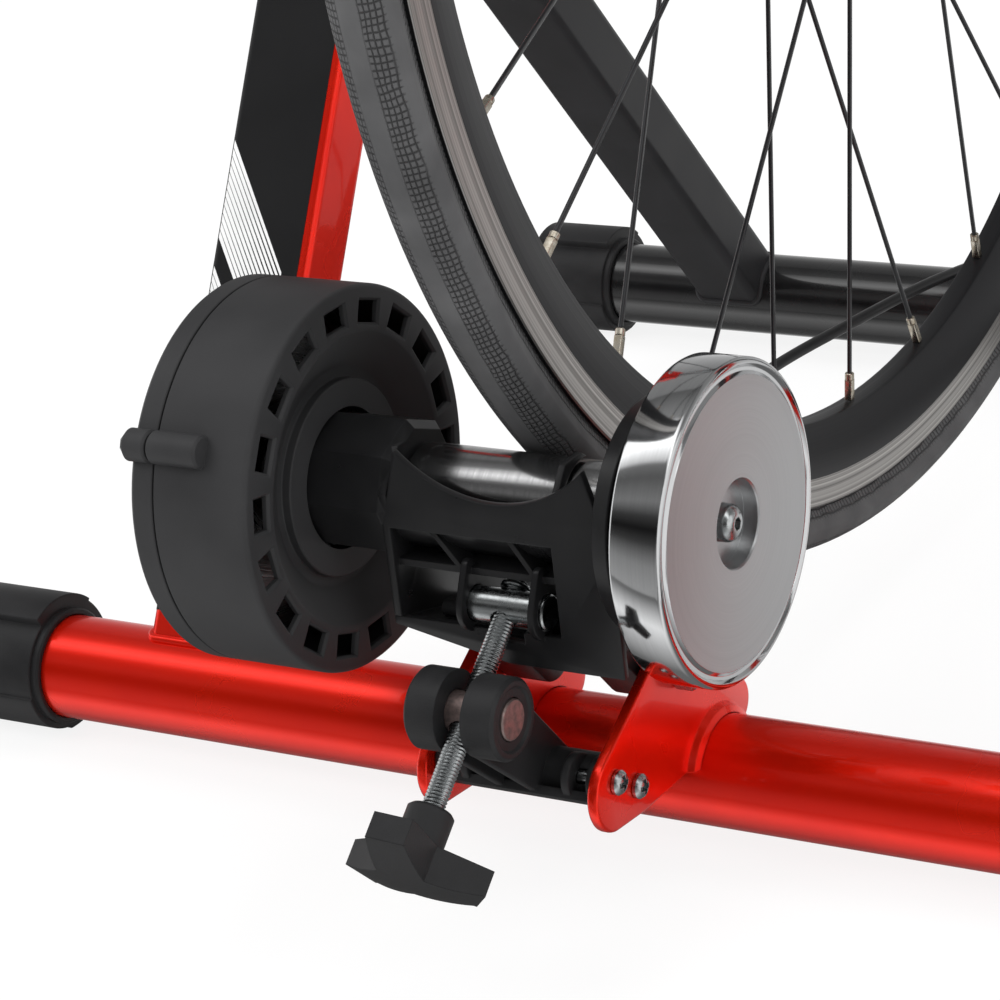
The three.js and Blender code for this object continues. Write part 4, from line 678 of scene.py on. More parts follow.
# Smooth curve through points, with even speed between them
def smoothRoute(points, step):
    ends = [2 * points[0] - points[1]] + points + [2 * points[-1] - points[-2]]
    route = []
    for index in range(1, len(ends) - 2):
        before, start, end, after = ends[index - 1:index + 3]
        knots = [0]
        for first, second in ((before, start), (start, end), (end, after)):
            knots.append(knots[-1] + math.sqrt((second - first).length))
        count = max(2, round((end - start).length / step))
        for number in range(count):
            t = knots[1] + (knots[2] - knots[1]) * number / count
            one = before.lerp(start, (t - knots[0]) / (knots[1] - knots[0]))
            two = start.lerp(end, (t - knots[1]) / (knots[2] - knots[1]))
            three = end.lerp(after, (t - knots[2]) / (knots[3] - knots[2]))
            four = one.lerp(two, (t - knots[0]) / (knots[2] - knots[0]))
            five = two.lerp(three, (t - knots[1]) / (knots[3] - knots[1]))
            route.append(four.lerp(five, (t - knots[1]) / (knots[2] - knots[1])))
    return route + [points[-1]]


# Two layers of turns: the lower one spirals in, the upper one out, and the half turn between them climbs
def coilRoute():
    turns = 2 * cable["layerTurns"] + cable["climbTurns"]
    outer = cable["coilInner"] + cable["spacing"] * turns / 2
    steps = round(turns * cable["loopSteps"])
    route = []
    for step in range(steps + 1):
        turn = turns * step / steps
        fromMiddle = turn - turns / 2
        radius = cable["coilInner"] + cable["spacing"] * abs(fromMiddle)
        share = min(1, max(0, fromMiddle / cable["climbTurns"] + 0.5))
        climb = share * share * (3 - 2 * share)
        angle = math.pi - 2 * math.pi * turn
        route.append(Vector((
            cable["coilX"] + outer + radius * math.cos(angle), cable["coilY"] + radius * math.sin(angle),
            cable["radius"] + cable["spacing"] * climb)))
    last = route[-1]
    steps = cable["tailSteps"]
    return route + [last - Vector((0, cable["tail"] * (step + 1) / steps, 0)) for step in range(steps)]


def makeGland():
    root, tip, length = glandShape["root"], glandShape["tip"], glandShape["length"]
    ribs, depth = glandShape["ribs"], glandShape["ribDepth"]
    profile = [(0, 0), (0, root), (length / 4, root)]
    for rib in range(ribs):
        start = length / 4 + rib * length * 0.75 / ribs
        wide = root + (tip - root) * (rib + 0.5) / ribs
        profile += [
            (start + 0.2, wide - depth), (start + 1.1, wide - depth), (start + 1.3, wide),
            (start + 2.8, wide)]
    profile += [(length, tip), (length, 0)]
    gland = aimed(turned(profile, 48), glandDirection, glandFoot)
    return finished(gland, "mouldedGland", plainRubber, ["cable_gland"])


def makeCable():
    out = glandShape["length"] + gap
    starts = [glandFoot + (out + extra) * glandDirection for extra in (0, 2 * cable["radius"])]
    ends = [Vector((cable["coilX"], cable["coilY"] - back, cable["radius"])) for back in (10, 5.3)]
    run = smoothRoute(starts + [Vector(point) for point in cableRoute] + ends, cable["runStep"])
    route = run + coilRoute()
    length = sum((second - first).length for first, second in zip(route, route[1:]))
    print("cable measures", round(length, 1), "mm")
    sheath = tube(route, cable["radius"], cable["sectionSides"])
    sheath.name = "controlCable"
    sheath.data.name = "controlCable"
    sheath.data.materials.append(cableSheath)
    sheath.data.shade_smooth()
    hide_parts("cable_run", "cable_coil")
    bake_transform(sheath)
    return sheath, route, length


lever = {
    "width": 24, "length": 34, "height": 13, "corner": 4, "boss": 9, "bossHeight": 2, "bar": 15.9,
    "saddle": 5, "pin": 2.5, "pinHeight": 5, "arm": 27, "armTip": 4, "armThickness": 3.4}


def makeLever(tip):
    place = (tip.x, tip.y - gap - lever["length"] / 2)
    top = lever["height"] + lever["bossHeight"]
    body = eased(plateZ(
        roundedRectangle(lever["width"], lever["length"], lever["corner"]), 0, lever["height"], place), 1.2)
    handlebar = rodZ(
        lever["bar"], -overrun, lever["height"] + overrun,
        (place[0], place[1] + lever["saddle"] - lever["length"] / 2 - lever["bar"]), 96)
    housing = join(
        cut(body, handlebar), rodZ(lever["boss"], lever["height"] / 2, top, place, bevel=0.5),
        rodZ(lever["pin"], lever["height"], top + lever["pinHeight"], place, 32, 0.3))
    housing = finished(housing, "leverHousing", gripNylon, ["remote_housing"])
    outline = belt([(0, 0, lever["boss"]), (lever["arm"], 0, lever["armTip"])])
    arm = eased(plateZ(outline, top + gap, top + gap + lever["armThickness"], place), 0.8)
    arm = cut(arm, rodZ(lever["pin"] + gap, top - overrun, top + overrun, place, 32))
    arm = finished(arm, "thumbArm", gripNylon, ["remote_arm"])
    return housing, arm


gland = makeGland()
sheath, route, cableLength = makeCable()
housing, thumbArm = makeLever(route[-1])
print("camera and cable made")

# Studio: a white floor and sky, soft lamps, and a tent that only metal and gloss see.
# The tent is a wide cylinder about the roller's axis, so each tube and rim shows its bands as lines.

studio = {
    "sky": 0.86, "floorSize": 12000, "floorWhite": 0.86, "tentRadius": 2600, "tentHalf": 5000,
    "tentStrength": 2.0,
    "lamps": [
        # name, place, aim, size, watts
        ("keyLamp", (-1500, -1500, 1900), (0, -150, 200), 1300, 30),
        ("fillLamp", (1900, -900, 1300), (0, -150, 200), 1200, 18),
        ("topLamp", (200, 500, 2300), (0, 0, 200), 1500, 20),
    ],
    # angle up from straight behind, brightness; below nought lies under the floor
    "tent": [
        (-180, 0.5), (-158, 0.8), (-138, 0.36), (-130, 0.14), (-100, 0.18), (-75, 0.6), (-55, 1.1),
        (-31, 0.12), (-30, 0.42), (-10, 0.3), (6, 0.05), (15, 0.008), (24, 0.05), (34, 0.24), (50, 0.12),
        (60, 0.2), (61, 0.7), (76, 2.0), (93, 0.7), (94, 0.3), (121, 0.12), (122, 0.24), (150, 0.28),
        (180, 0.5)],
}


def seenDirectly(tree):
    light = put(tree, "LightPath")
    total = light.outputs["Is Camera Ray"]
    for name in ("Is Glossy Ray", "Is Transmission Ray"):
        total = put(tree, "Math", {0: total, 1: light.outputs[name]}, operation="MAXIMUM").outputs[0]
    return total


def makeSky():
    world = bpy.data.worlds.new("sky")
    scene.world = world
    world.use_nodes = True
    tree = world.node_tree
    tree.nodes.clear()
    seen = seenDirectly(tree)
    strength = put(tree, "MapRange", {"Value": seen, "To Min": studio["sky"], "To Max": 1.0}).outputs[0]
    white = put(tree, "Background", {"Color": (1, 1, 1, 1), "Strength": strength}).outputs[0]
    put(tree, "OutputWorld", {"Surface": white})


def makeFloor():
    material = newMaterial("paperSweepWhite")
    tree = material.node_tree
    seen = seenDirectly(tree)
    share = put(tree, "Math", {0: seen, 1: studio["floorWhite"]}, operation="MULTIPLY").outputs[0]
    paper = put(tree, "BsdfDiffuse", {"Color": (0.95, 0.95, 0.95, 1)}).outputs[0]
    glow = put(tree, "Emission", {"Color": (1, 1, 1, 1), "Strength": 1.0}).outputs[0]
    mixed = put(tree, "MixShader", {0: share, 1: paper, 2: glow}).outputs[0]
    put(tree, "OutputMaterial", {"Surface": mixed})
    half = studio["floorSize"] / 2
    floor = build([(-half, -half, 0), (half, -half, 0), (half, half, 0), (-half, half, 0)], [(0, 1, 2, 3)])
    floor.name = "studioFloor"
    floor.data.materials.append(material)
    floor.visible_glossy = False  # metal and gloss see the tent instead


def makeLamps():
    for name, place, aim, size, watts in studio["lamps"]:
        data = bpy.data.lights.new(name, "AREA")
        data.shape = "SQUARE"
        data.size = size * mm
        data.energy = watts
        lamp = bpy.data.objects.new(name, data)
        scene.collection.objects.link(lamp)
        lamp.visible_glossy = False  # the tent alone makes the highlights
        direction = Vector(aim) - Vector(place)
        lamp.matrix_world = (
            Matrix.Translation(Vector(place) * mm) @ direction.to_track_quat("-Z", "Y").to_matrix().to_4x4())


def makeTent():
    material = newMaterial("clothTentLit")
    tree = material.node_tree
    along, out, angle = roundAxis(tree, put(tree, "TexCoord").outputs["Object"], roller)
    # the angle from the Y axis turned into a share of a turn from straight behind
    turn = put(tree, "Math", {0: angle, 1: -1 / (2 * math.pi), 2: 1.0}, operation="MULTIPLY_ADD").outputs[0]
    share = put(tree, "Math", {0: turn}, operation="FRACT").outputs[0]
    ramp = put(tree, "ValToRGB", {0: share})
    stops = ramp.color_ramp.elements
    while len(stops) > 1:
        stops.remove(stops[-1])
    stops[0].position = 0
    for index, (place, bright) in enumerate(studio["tent"]):
        stop = stops[0] if index == 0 else stops.new((place + 180) / 360)
        level = bright / studio["tentStrength"]
        stop.color = (level, level, level, 1)
    glow = put(tree, "Emission", {"Color": ramp.outputs[0], "Strength": studio["tentStrength"]}).outputs[0]
    put(tree, "OutputMaterial", {"Surface": glow})
    radius, half = studio["tentRadius"], studio["tentHalf"]
    tent = turned([(-half, radius), (half, radius), (half, radius + 1), (-half, radius + 1)], 96, roller)
    tent.name = "lightTent"
    tent.data.materials.append(material)
    for kind in ("camera", "diffuse", "transmission", "volume_scatter", "shadow"):
        setattr(tent, "visible_" + kind, False)


makeSky()
makeFloor()
makeLamps()
makeTent()
print("studio made")

# Base tubes and levelling caps

base = {
    "end": 284.7, "half": 289, "rearRadius": 20, "frontRadius": 19, "wall": 2, "capReach": 39, "capEnd": 4,
    "collar": 3, "collarWall": 2.6, "steps": 5, "stepHeight": 1, "thinnest": 4, "firstAngle": 117,
    "round": 1.4}


def makeBaseTube(name, node, radius, centre, material):
    tubeSolid = pipe(radius, radius - base["wall"], -base["end"], base["end"], 96, centre, 0.3)
    finished(tubeSolid, name, material, [node])


def makeCap(name, node, radius, centre, sign):
    outline = []
    turn = 2 * math.pi / base["steps"]
    for step in range(base["steps"]):
        start = math.radians(base["firstAngle"]) + step * turn
        outline += arc((0, 0), radius + base["thinnest"] + step * base["stepHeight"], start, start + turn, 18)
    inner = base["half"] - base["capReach"]
    body = eased(plateX(outline, inner, base["half"]), base["round"], 4, 25)
    start, end, wide = inner - base["collar"], inner + base["capEnd"], radius + base["collarWall"]
    lip = turned([
        (start, radius + gap), (start, wide - 0.8), (start + 0.8, wide), (end, wide),
        (end, radius + gap)], 96)
    bore = rod(radius + gap, inner - clearDepth, base["half"] - base["capEnd"], 96)
    cap = onSide(cut(join(body, lip), bore), sign)
    finished(moved(cap, centre), name, gripNylon, [node])


makeBaseTube("rearBaseTube", "rear_base_tube", base["rearRadius"], rearTube, candyRed)
makeBaseTube("frontBaseTube", "front_base_tube", base["frontRadius"], frontTube, blackGloss)
for side, sign in sides:
    makeCap(side + "RearCap", "rear_cap_" + side, base["rearRadius"], rearTube, sign)
    makeCap(side + "FrontCap", "front_cap_" + side, base["frontRadius"], frontTube, sign)
print("base made")

# Legs, plugs, head brackets and fold bolts

leg = {
    "offset": 182.5, "corner": 4, "wall": 2, "rearWidth": 44, "rearDepth": 27.4, "behindAxle": 18, "rise": 16,
    "frontWidth": 32, "frontDepth": 26.5, "plugLip": 3, "plugSkirt": 12, "barrel": 10, "bolt": 5,
    "boltHead": 8.5, "boltHeadHeight": 6, "boltSocket": 3, "cheek": 3, "cheekHead": 19, "cheekFold": 14,
    "cheekLeg": 12, "cheekDrop": 70, "sleeve": 15, "sleeveLength": 60, "rod": 8, "weld": 1.7}
legTop = (axle[0] - leg["behindAxle"], axle[1])
rearLegDirection = Vector((0, *offsetOf(legTop, rearTube)))
rearLegRun = rearLegDirection.length
rearLegDirection.normalize()
rearLegFront = Vector((0, rearLegDirection.z, -rearLegDirection.y))
frontLegDirection = Vector((0, *offsetOf(foldPivot, frontTube)))
frontLegRun = frontLegDirection.length
frontLegDirection.normalize()


def boxTube(width, depth, foot, direction, length):
    wall = leg["wall"]
    outer = beam(roundedRectangle(width, depth, leg["corner"]), foot, direction, length)
    bore = beam(
        roundedRectangle(width - 2 * wall, depth - 2 * wall, leg["corner"] - wall),
        Vector(foot) - overrun * direction, direction, length + 2 * overrun)
    return cut(outer, bore)


def makeRearLeg(side, sign):
    footX = sign * leg["offset"]
    length = rearLegRun + leg["rise"]
    foot = (footX, *rearTube)
    shell = cut(
        boxTube(leg["rearWidth"], leg["rearDepth"], foot, rearLegDirection, length),
        drill(base["rearRadius"] + gap, rearTube, footX, 96), drill(leg["sleeve"] + gap, axle, footX))
    finished(shell, side + "RearLeg", candyRed, ["rear_leg_" + side])
    top = Vector(foot) + (length + gap) * rearLegDirection
    lip = eased(beam(
        roundedRectangle(leg["rearWidth"], leg["rearDepth"], leg["corner"]), top, rearLegDirection,
        leg["plugLip"]), 1)
    fit = 2 * (leg["wall"] + gap)
    skirt = beam(
        roundedRectangle(leg["rearWidth"] - fit, leg["rearDepth"] - fit, leg["corner"] - leg["wall"]),
        top - leg["plugSkirt"] * rearLegDirection, rearLegDirection, leg["plugSkirt"] + leg["plugLip"] / 2)
    plug = cut(join(lip, skirt), drill(leg["sleeve"] + gap, axle, footX))
    finished(plug, side + "LegPlug", gripNylon, ["leg_plug_" + side])


# Printed film on the leg's rear face: a black field with two sets of slanted white stripes
panel = {
    "from": 26, "to": 372, "lift": 0.05, "film": 0.1, "leftWrap": 60, "wrapSteps": 8, "left": 19.6,
    "right": 18.6, "stripes": 12, "pitch": 3.2, "starts": (206, 157), "length": 58, "slope": 32.5,
    "wide": 1.5, "narrow": 1.0}


def onRearFace(footX, across, along, lift):
    back = leg["rearDepth"] / 2 + lift
    return Vector((footX + across, *rearTube)) + along * rearLegDirection - back * rearLegFront


def makePanel(side, sign):
    footX = sign * leg["offset"]
    half, corner = leg["rearWidth"] / 2, leg["corner"]
    lift, film = panel["lift"], panel["film"]
    reach = corner + lift
    section = [(panel["right"], lift)]
    for step in range(panel["wrapSteps"] + 1):
        turn = math.radians(panel["leftWrap"]) * step / panel["wrapSteps"]
        section.append((-half + corner - reach * math.sin(turn), reach * math.cos(turn) - corner))
    outline = section + [(across, back + film) for across, back in reversed(section)]
    field = drawn(outline, panel["from"], panel["to"], lambda a, b, along: onRearFace(footX, a, along, b))
    finished(field, side + "LegFilm", printedBlack, on="rear_leg_" + side)
    stripes = []
    tilt = math.radians(panel["slope"])
    far = min(panel["length"], (panel["left"] + panel["right"] - 1) / math.sin(tilt))
    low, high = lift + film - 0.02, lift + film + 0.06
    for start in panel["starts"]:
        for number in range(panel["stripes"]):
            ends = []
            for distance, width in ((0, panel["wide"]), (far, panel["narrow"])):
                across = -panel["left"] + distance * math.sin(tilt)
                down = start - number * panel["pitch"] - distance * math.cos(tilt)
                tall = width / math.sin(tilt) / 2
                ends.append(((across, down - tall), (across, down + tall)))
            shape = [ends[0][0], ends[1][0], ends[1][1], ends[0][1]]
            stripe = drawn(shape, low, high, lambda a, b, up: onRearFace(footX, a, b, up))
            stripes.append((stripe, printedWhite))
    finished(gathered(stripes), side + "LegStripes", None, on="rear_leg_" + side)


# Weld bead where a square leg meets a round tube
def makeFootWeld(name, footX, centre, radius, width, depth, direction, material, on):
    face = direction.cross(Vector((1, 0, 0)))
    loop = roundedRectangle(width, depth, leg["corner"], 6)
    route = []
    for index in range(len(loop) + 1):
        start, end = loop[index % len(loop)], loop[(index + 1) % len(loop)]
        for share in (0, 0.25, 0.5, 0.75):
            across = start[0] + (end[0] - start[0]) * share
            out = start[1] + (end[1] - start[1]) * share
            rise = math.sqrt(max(0, (radius + gap) ** 2 - out ** 2))
            route.append(Vector((footX + across, *centre)) + out * face + rise * direction)
    spread = route[:1] + [point for last, point in zip(route, route[1:]) if (point - last).length > 0.2]
    finished(tube(spread, leg["weld"], 12), name, material, on=on, sharp=80)


def makeFrontLeg(side, sign):
    footX = sign * leg["offset"]
    half = leg["frontWidth"] / 2
    barrelHalf = leg["rearWidth"] / 2 - gap
    shell = cut(
        boxTube(leg["frontWidth"], leg["frontDepth"], (footX, *frontTube), frontLegDirection, frontLegRun),
        drill(base["frontRadius"] + gap, frontTube, footX, 96))
    nose = rod(leg["frontDepth"] / 2, footX - half, footX + half, 64, foldPivot, 0.8)
    barrel = rod(leg["barrel"], footX - barrelHalf, footX + barrelHalf, 64, foldPivot, 0.5)
    shell = cut(join(shell, nose, barrel), drill(leg["bolt"] + 2 * gap, foldPivot, footX, 48))
    finished(shell, side + "FrontLeg", blackSatin, ["front_leg_" + side])


clamp = {
    "cup": 13, "cupLength": 22, "cupDepth": 9, "cupFace": 68.3, "nut": 9, "nutTip": 5, "knob": 27,
    "knobThickness": 16, "knobReach": 14, "lobes": 5, "wave": 2.7, "pitch": 1.5, "threadDepth": 0.9, "cam": 9,
    "camThrow": 4, "camAngle": 40, "camWidth": 13, "pin": 3, "lever": 78, "leverThickness": 9, "ear": 4,
    "earLength": 26, "earHeight": 20, "proud": 2}
cupBack = clamp["cupFace"] + clamp["cupLength"]
sleeveEnd = leg["offset"] + leg["sleeveLength"] / 2
plungerEnd = sleeveEnd + gap + clamp["proud"]
leverPivot = plungerEnd + gap + clamp["cam"] + clamp["camThrow"] * math.cos(math.radians(clamp["camAngle"]))


def makeHeadBracket(side, sign):
    offset = leg["offset"]
    inner = leg["rearWidth"] / 2 + gap
    outer = inner + leg["cheek"]
    lower = (
        legTop[0] - leg["cheekDrop"] * rearLegDirection.y, legTop[1] - leg["cheekDrop"] * rearLegDirection.z)
    outline = belt([
        (*lower, leg["cheekLeg"]), (*foldPivot, leg["cheekFold"]), (*axle, leg["cheekHead"])])
    solids = [eased(plateX(outline, offset + way * inner, offset + way * outer), 0.6, 2) for way in (-1, 1)]
    if sign > 0:
        earFrom, tall = clamp["camWidth"] / 2 + gap, clamp["earHeight"] / 2
        earTo = earFrom + clamp["ear"]
        for way in (-1, 1):
            solids.append(eased(block(
                sleeveEnd - overrun, sleeveEnd + clamp["earLength"], way * earFrom, way * earTo, -tall, tall,
                axle), 1.2))
        solids.append(bar(
            (leverPivot, axle[0] - earTo, axle[1]), (leverPivot, axle[0] + earTo, axle[1]), clamp["pin"]))
    sleeve = rod(leg["sleeve"], offset - leg["sleeveLength"] / 2, sleeveEnd, 64, axle, 0.8)
    head = cut(
        join(sleeve, *solids), drill(leg["bolt"] + gap, foldPivot, offset, 48),
        drill(leg["rod"] + gap, axle, offset))
    finished(onSide(head, sign), side + "HeadBracket", candyRed, ["head_bracket_" + side])


def makeFoldBolt(side, sign):
    outer = leg["rearWidth"] / 2 + leg["cheek"] + 2 * gap
    head, height = leg["boltHead"], leg["boltHeadHeight"]
    bolt = join(
        rod(leg["bolt"], -outer - height, outer + height - 1, 48, bevel=0.6),
        turned([
            (outer, 0), (outer, head), (outer + 3, head), (outer + 5, 6.5), (outer + height, 3.5),
            (outer + height, 0)], 64),
        hexPrism(head, -outer - height + 0.8, -outer))
    low, high, wide = outer + 2.5, outer + clearDepth, leg["boltSocket"]
    socket = turned([(low, 0), (low, wide), (high, wide), (high, 0)], 6)
    bolt = moved(cut(bolt, socket), foldPivot, sign * leg["offset"])
    finished(bolt, side + "FoldBolt", zincPlate, ["fold_bolt_" + side])


def clampCup():
    face, tip = clamp["cupFace"], clamp["nutTip"] + gap
    body = rod(clamp["cup"], face, cupBack, 72, bevel=1)
    hollow = turned([
        (face - overrun, 0), (face - overrun, clamp["nut"] + gap),
        (face + clamp["cupDepth"] - tip, clamp["nut"] + gap), (face + clamp["cupDepth"] + gap, tip),
        (face + clamp["cupDepth"] + gap, 0)], 64)
    return cut(body, hollow)


def makeLeftClamp():
    finished(moved(mirrored(clampCup()), axle), "leftClampCup", zincPlate, ["clamp_cup_left"])
    knobX, thick, wave = sleeveEnd + clamp["knobReach"], clamp["knobThickness"], clamp["wave"]
    thread = mirrored(threadedRod(
        leg["rod"], cupBack + gap, knobX + thick / 2, clamp["pitch"], clamp["threadDepth"],
        plainEnd=leg["rod"]))
    finished(moved(thread, axle), "leftClampScrew", zincPlate, ["clamp_screw_left"], sharp=50)
    outline = []
    for turn in fullTurn(120):
        outline.append(polar(clamp["knob"] - wave + wave * math.cos(clamp["lobes"] * turn), turn))
    knob = eased(plateX(outline, knobX, knobX + thick), 2, 4)
    socket = rod(leg["rod"] + gap, knobX - overrun, knobX + thick / 2 + gap, 64)
    finished(moved(mirrored(cut(knob, socket)), axle), "leftClampKnob", gripNylon, ["clamp_knob_left"])


def makeRightClamp():
    plunger = join(clampCup(), rod(leg["rod"], cupBack - 1, plungerEnd, 64, bevel=0.6))
    finished(moved(plunger, axle), "rightClampPlunger", zincPlate, ["clamp_plunger_right"])
    offset = polar(-clamp["camThrow"], math.radians(clamp["camAngle"]))
    half = clamp["camWidth"] / 2
    cam = bar((offset[0], -half, offset[1]), (offset[0], half, offset[1]), clamp["cam"], 96, 0.6)
    thick = clamp["leverThickness"]
    outline = belt([
        (0, -clamp["lever"], thick / 3), (thick / 6, -clamp["lever"] / 3, thick / 2),
        (thick / 3, 0, thick / 2), (-thick / 6, -clamp["lever"] / 3, thick / 2)])
    arm = eased(drawn(outline, -half, half, lambda y, z, x: (y, -x, z)), 1.6, 3)
    hole = bar((0, -clearDepth, 0), (0, clearDepth, 0), clamp["pin"] + gap)
    leverSolid = moved(cut(join(cam, arm), hole), axle, leverPivot)
    finished(leverSolid, "rightClampLever", blackGloss, ["clamp_lever_right"])


for side, sign in sides:
    makeRearLeg(side, sign)
    makePanel(side, sign)
    makeFootWeld(
        side + "RearWeld", sign * leg["offset"], rearTube, base["rearRadius"], leg["rearWidth"],
        leg["rearDepth"], rearLegDirection, candyRed, "rear_leg_" + side)
    makeFootWeld(
        side + "FrontWeld", sign * leg["offset"], frontTube, base["frontRadius"], leg["frontWidth"],
        leg["frontDepth"], frontLegDirection, blackSatin, "front_leg_" + side)
    makeFrontLeg(side, sign)
    makeHeadBracket(side, sign)
    makeFoldBolt(side, sign)
makeLeftClamp()
makeRightClamp()
print("legs and clamps made")

# Unit plates, screw bracket and their screws; circles are given from the centre of the rear tube

plate = {
    "inner": 31, "outer": 35, "bottom": 9, "pivot": (-20.1, 49), "pivotRadius": 15, "heel": (-67.5, 25, 14),
    "belly": (-50, 20, 11), "toe": (18, 17, 9), "weld": 3.5, "bolt": 5, "nut": 8, "nutHeight": 7,
    "round": 1.1}
bracket = {
    "rearScrew": (-67.7, 28.4), "spacing": 15, "slope": 31, "screw": 2.5, "head": 4.3, "headHeight": 3,
    "length": 16, "pad": 8, "padThickness": 3.2, "collarInset": 9.5, "barrel": 9, "lugInner": 5,
    "lugOuter": 17, "web": 3, "lug": 13.9, "lugPlace": (-96.4, 62.2), "lugRim": 2.2, "skin": 3, "trunnion": 7}
slope = math.radians(bracket["slope"])
rearScrew = bracket["rearScrew"]
frontScrew = (
    rearScrew[0] + bracket["spacing"] * math.cos(slope), rearScrew[1] - bracket["spacing"] * math.sin(slope))
bracketAxis = ((rearScrew[0] + frontScrew[0]) / 2, (rearScrew[1] + frontScrew[1]) / 2)


def makeUnitPlate(side, sign):
    inner, outer, weld = plate["inner"], plate["outer"], plate["weld"]
    pivot = (*plate["pivot"], plate["pivotRadius"])
    outline = belt([plate["belly"], plate["toe"], pivot, plate["heel"]], 120)
    solid = eased(plateX(outline, inner, outer), plate["round"])
    root = base["rearRadius"] + gap
    bead = turned([
        (inner, root), (inner, root + weld), (outer, root + weld), (outer + weld * 0.7, root + weld * 0.7),
        (outer + weld, root)], 96)
    below = block(0, 2 * outer, -clearDepth, clearDepth, -clearDepth, plate["bottom"])
    solid = cut(
        join(solid, cut(bead, below)), drill(root, steps=96),
        drill(plate["bolt"] + gap, plate["pivot"], steps=48),
        *[drill(bracket["screw"] + gap, place, steps=32) for place in (rearScrew, frontScrew)])
    finished(moved(onSide(solid, sign), rearTube), side + "UnitPlate", candyRed, ["unit_plate_" + side])


def makeScrewBracket():
    lug = bracket["lugPlace"]
    end = plate["inner"] - gap
    lugFrom, lugTo = bracket["lugInner"], bracket["lugInner"] + bracket["web"]
    padCircles = [(*rearScrew, bracket["pad"]), (*frontScrew, bracket["pad"])]
    pad = belt(padCircles)
    arm = belt(padCircles + [(*lug, bracket["lug"])])
    solids = []
    for sign in (-1, 1):
        for outer in (end, end - bracket["collarInset"]):
            solids.append(eased(plateX(pad, sign * (outer - bracket["padThickness"]), sign * outer), 0.7))
        solids.append(trunnionBoss(sign, lug))
        solids.append(eased(plateX(arm, sign * lugFrom, sign * lugTo), 0.7))
    span = bracket["spacing"] + bracket["pad"]
    drop = bracket["pad"] - bracket["skin"] / 2
    along = Vector((0, math.cos(slope), -math.sin(slope)))
    middle = Vector((0, *bracketAxis)) - drop * Vector((0, math.sin(slope), math.cos(slope)))
    solids.append(beam(
        roundedRectangle(2 * end, bracket["skin"], 1), middle - span / 2 * along, along, span))
    body = join(rod(bracket["barrel"], -end, end, 64, bracketAxis), *solids)
    tools = [rod(bracket["trunnion"] + gap, -plate["inner"], plate["inner"], 64, lug)]
    holeEnd = plate["outer"] + gap - bracket["length"]
    for place in (rearScrew, frontScrew):
        for sign in (-1, 1):
            tools.append(rod(bracket["screw"] + gap, sign * holeEnd, sign * plate["outer"], 32, place))
    finished(moved(cut(body, *tools), rearTube), "screwBracket", gripNylon, ["screw_bracket"])


# Boss round the lower trunnion, with a raised rim round its recessed end
def trunnionBoss(sign, lug):
    radius, rimWidth = bracket["lug"], bracket["lugRim"]
    inner, outer = bracket["lugInner"], bracket["lugOuter"]
    boss = turned([
        (inner, 0), (inner, radius), (outer - 1.2, radius), (outer, radius - 1.2),
        (outer, radius - rimWidth - 0.6), (outer - 0.9, radius - rimWidth - 1.5), (outer - 0.9, 0)], 72, lug)
    return onSide(boss, sign)


# Pan head with a cross recess
def panScrew(under, head, height, shank, length):
    body = turned([
        (under - length, 0), (under - length, shank - 0.6), (under - length + 0.8, shank), (under, shank),
        (under, head), (under + 0.4 * height, head), (under + 0.75 * height, 0.82 * head),
        (under + height, 0.45 * head), (under + height, 0)], 48)
    arm, slot = 0.62 * head, 0.22 * head
    low, high = under + 0.3 * height, under + 2 * height
    return cut(body, *[block(low, high, -y, y, -z, z) for y, z in ((arm, slot), (slot, arm))])


def makeBracketScrews():
    places = [(place, sign) for place in (rearScrew, frontScrew) for sign in (-1, 1)]
    for number, (place, sign) in enumerate(places, 1):
        solid = onSide(panScrew(
            plate["outer"] + gap, bracket["head"], bracket["headHeight"], bracket["screw"],
            bracket["length"]), sign)
        solid = moved(moved(solid, place), rearTube)
        finished(solid, "bracketScrew%d" % number, zincPlate, ["bracket_screw_%d" % number])


def makePivotBolt():
    under = plate["outer"] + gap
    half = plate["nutHeight"] / 2
    bolt = join(
        rod(plate["bolt"], -under - plate["nutHeight"], under + half + gap, 48, bevel=0.5),
        hexPrism(plate["nut"], -under - half, -under))
    finished(moved(bolt, unitPivot), "unitPivotBolt", zincPlate, ["unit_pivot_bolt"])
    nut = cut(
        hexPrism(plate["nut"], under, under + plate["nutHeight"]),
        rod(plate["bolt"] + gap, under - overrun, under + half + 2 * gap, 48))
    finished(moved(nut, unitPivot), "unitPivotNut", zincPlate, ["unit_pivot_nut"])


for side, sign in sides:
    makeUnitPlate(side, sign)
makeScrewBracket()
makeBracketScrews()
makePivotBolt()
print("plates and bracket made")

# Trunnions, adjusting screw and its knob

screw = {
    "radius": 4, "clearance": 0.5, "reach": 74.4, "past": 9, "circlet": 5.2, "circletThickness": 1.6,
    "pitch": 1.25, "depth": 0.62, "upperRadius": 6, "upperLength": 32, "stem": 8, "stemLength": 13,
    "knob": 25, "knobThickness": 13, "dome": 4, "lobes": 3, "lobeWidth": 17, "tipShare": 0.8}


def alongScrew(distance):
    return Vector((0, *upperTrunnion)) + distance * screwDirection


def makeTrunnion(name, node, radius, length, centre, material):
    body = rod(radius, -length / 2, length / 2, 72, centre, 0.5)
    middle = Vector((0, *centre))
    reach = radius + overrun
    hole = bar(
        middle - reach * screwDirection, middle + reach * screwDirection,
        screw["radius"] + screw["clearance"])
    finished(cut(body, hole), name, material, [node])


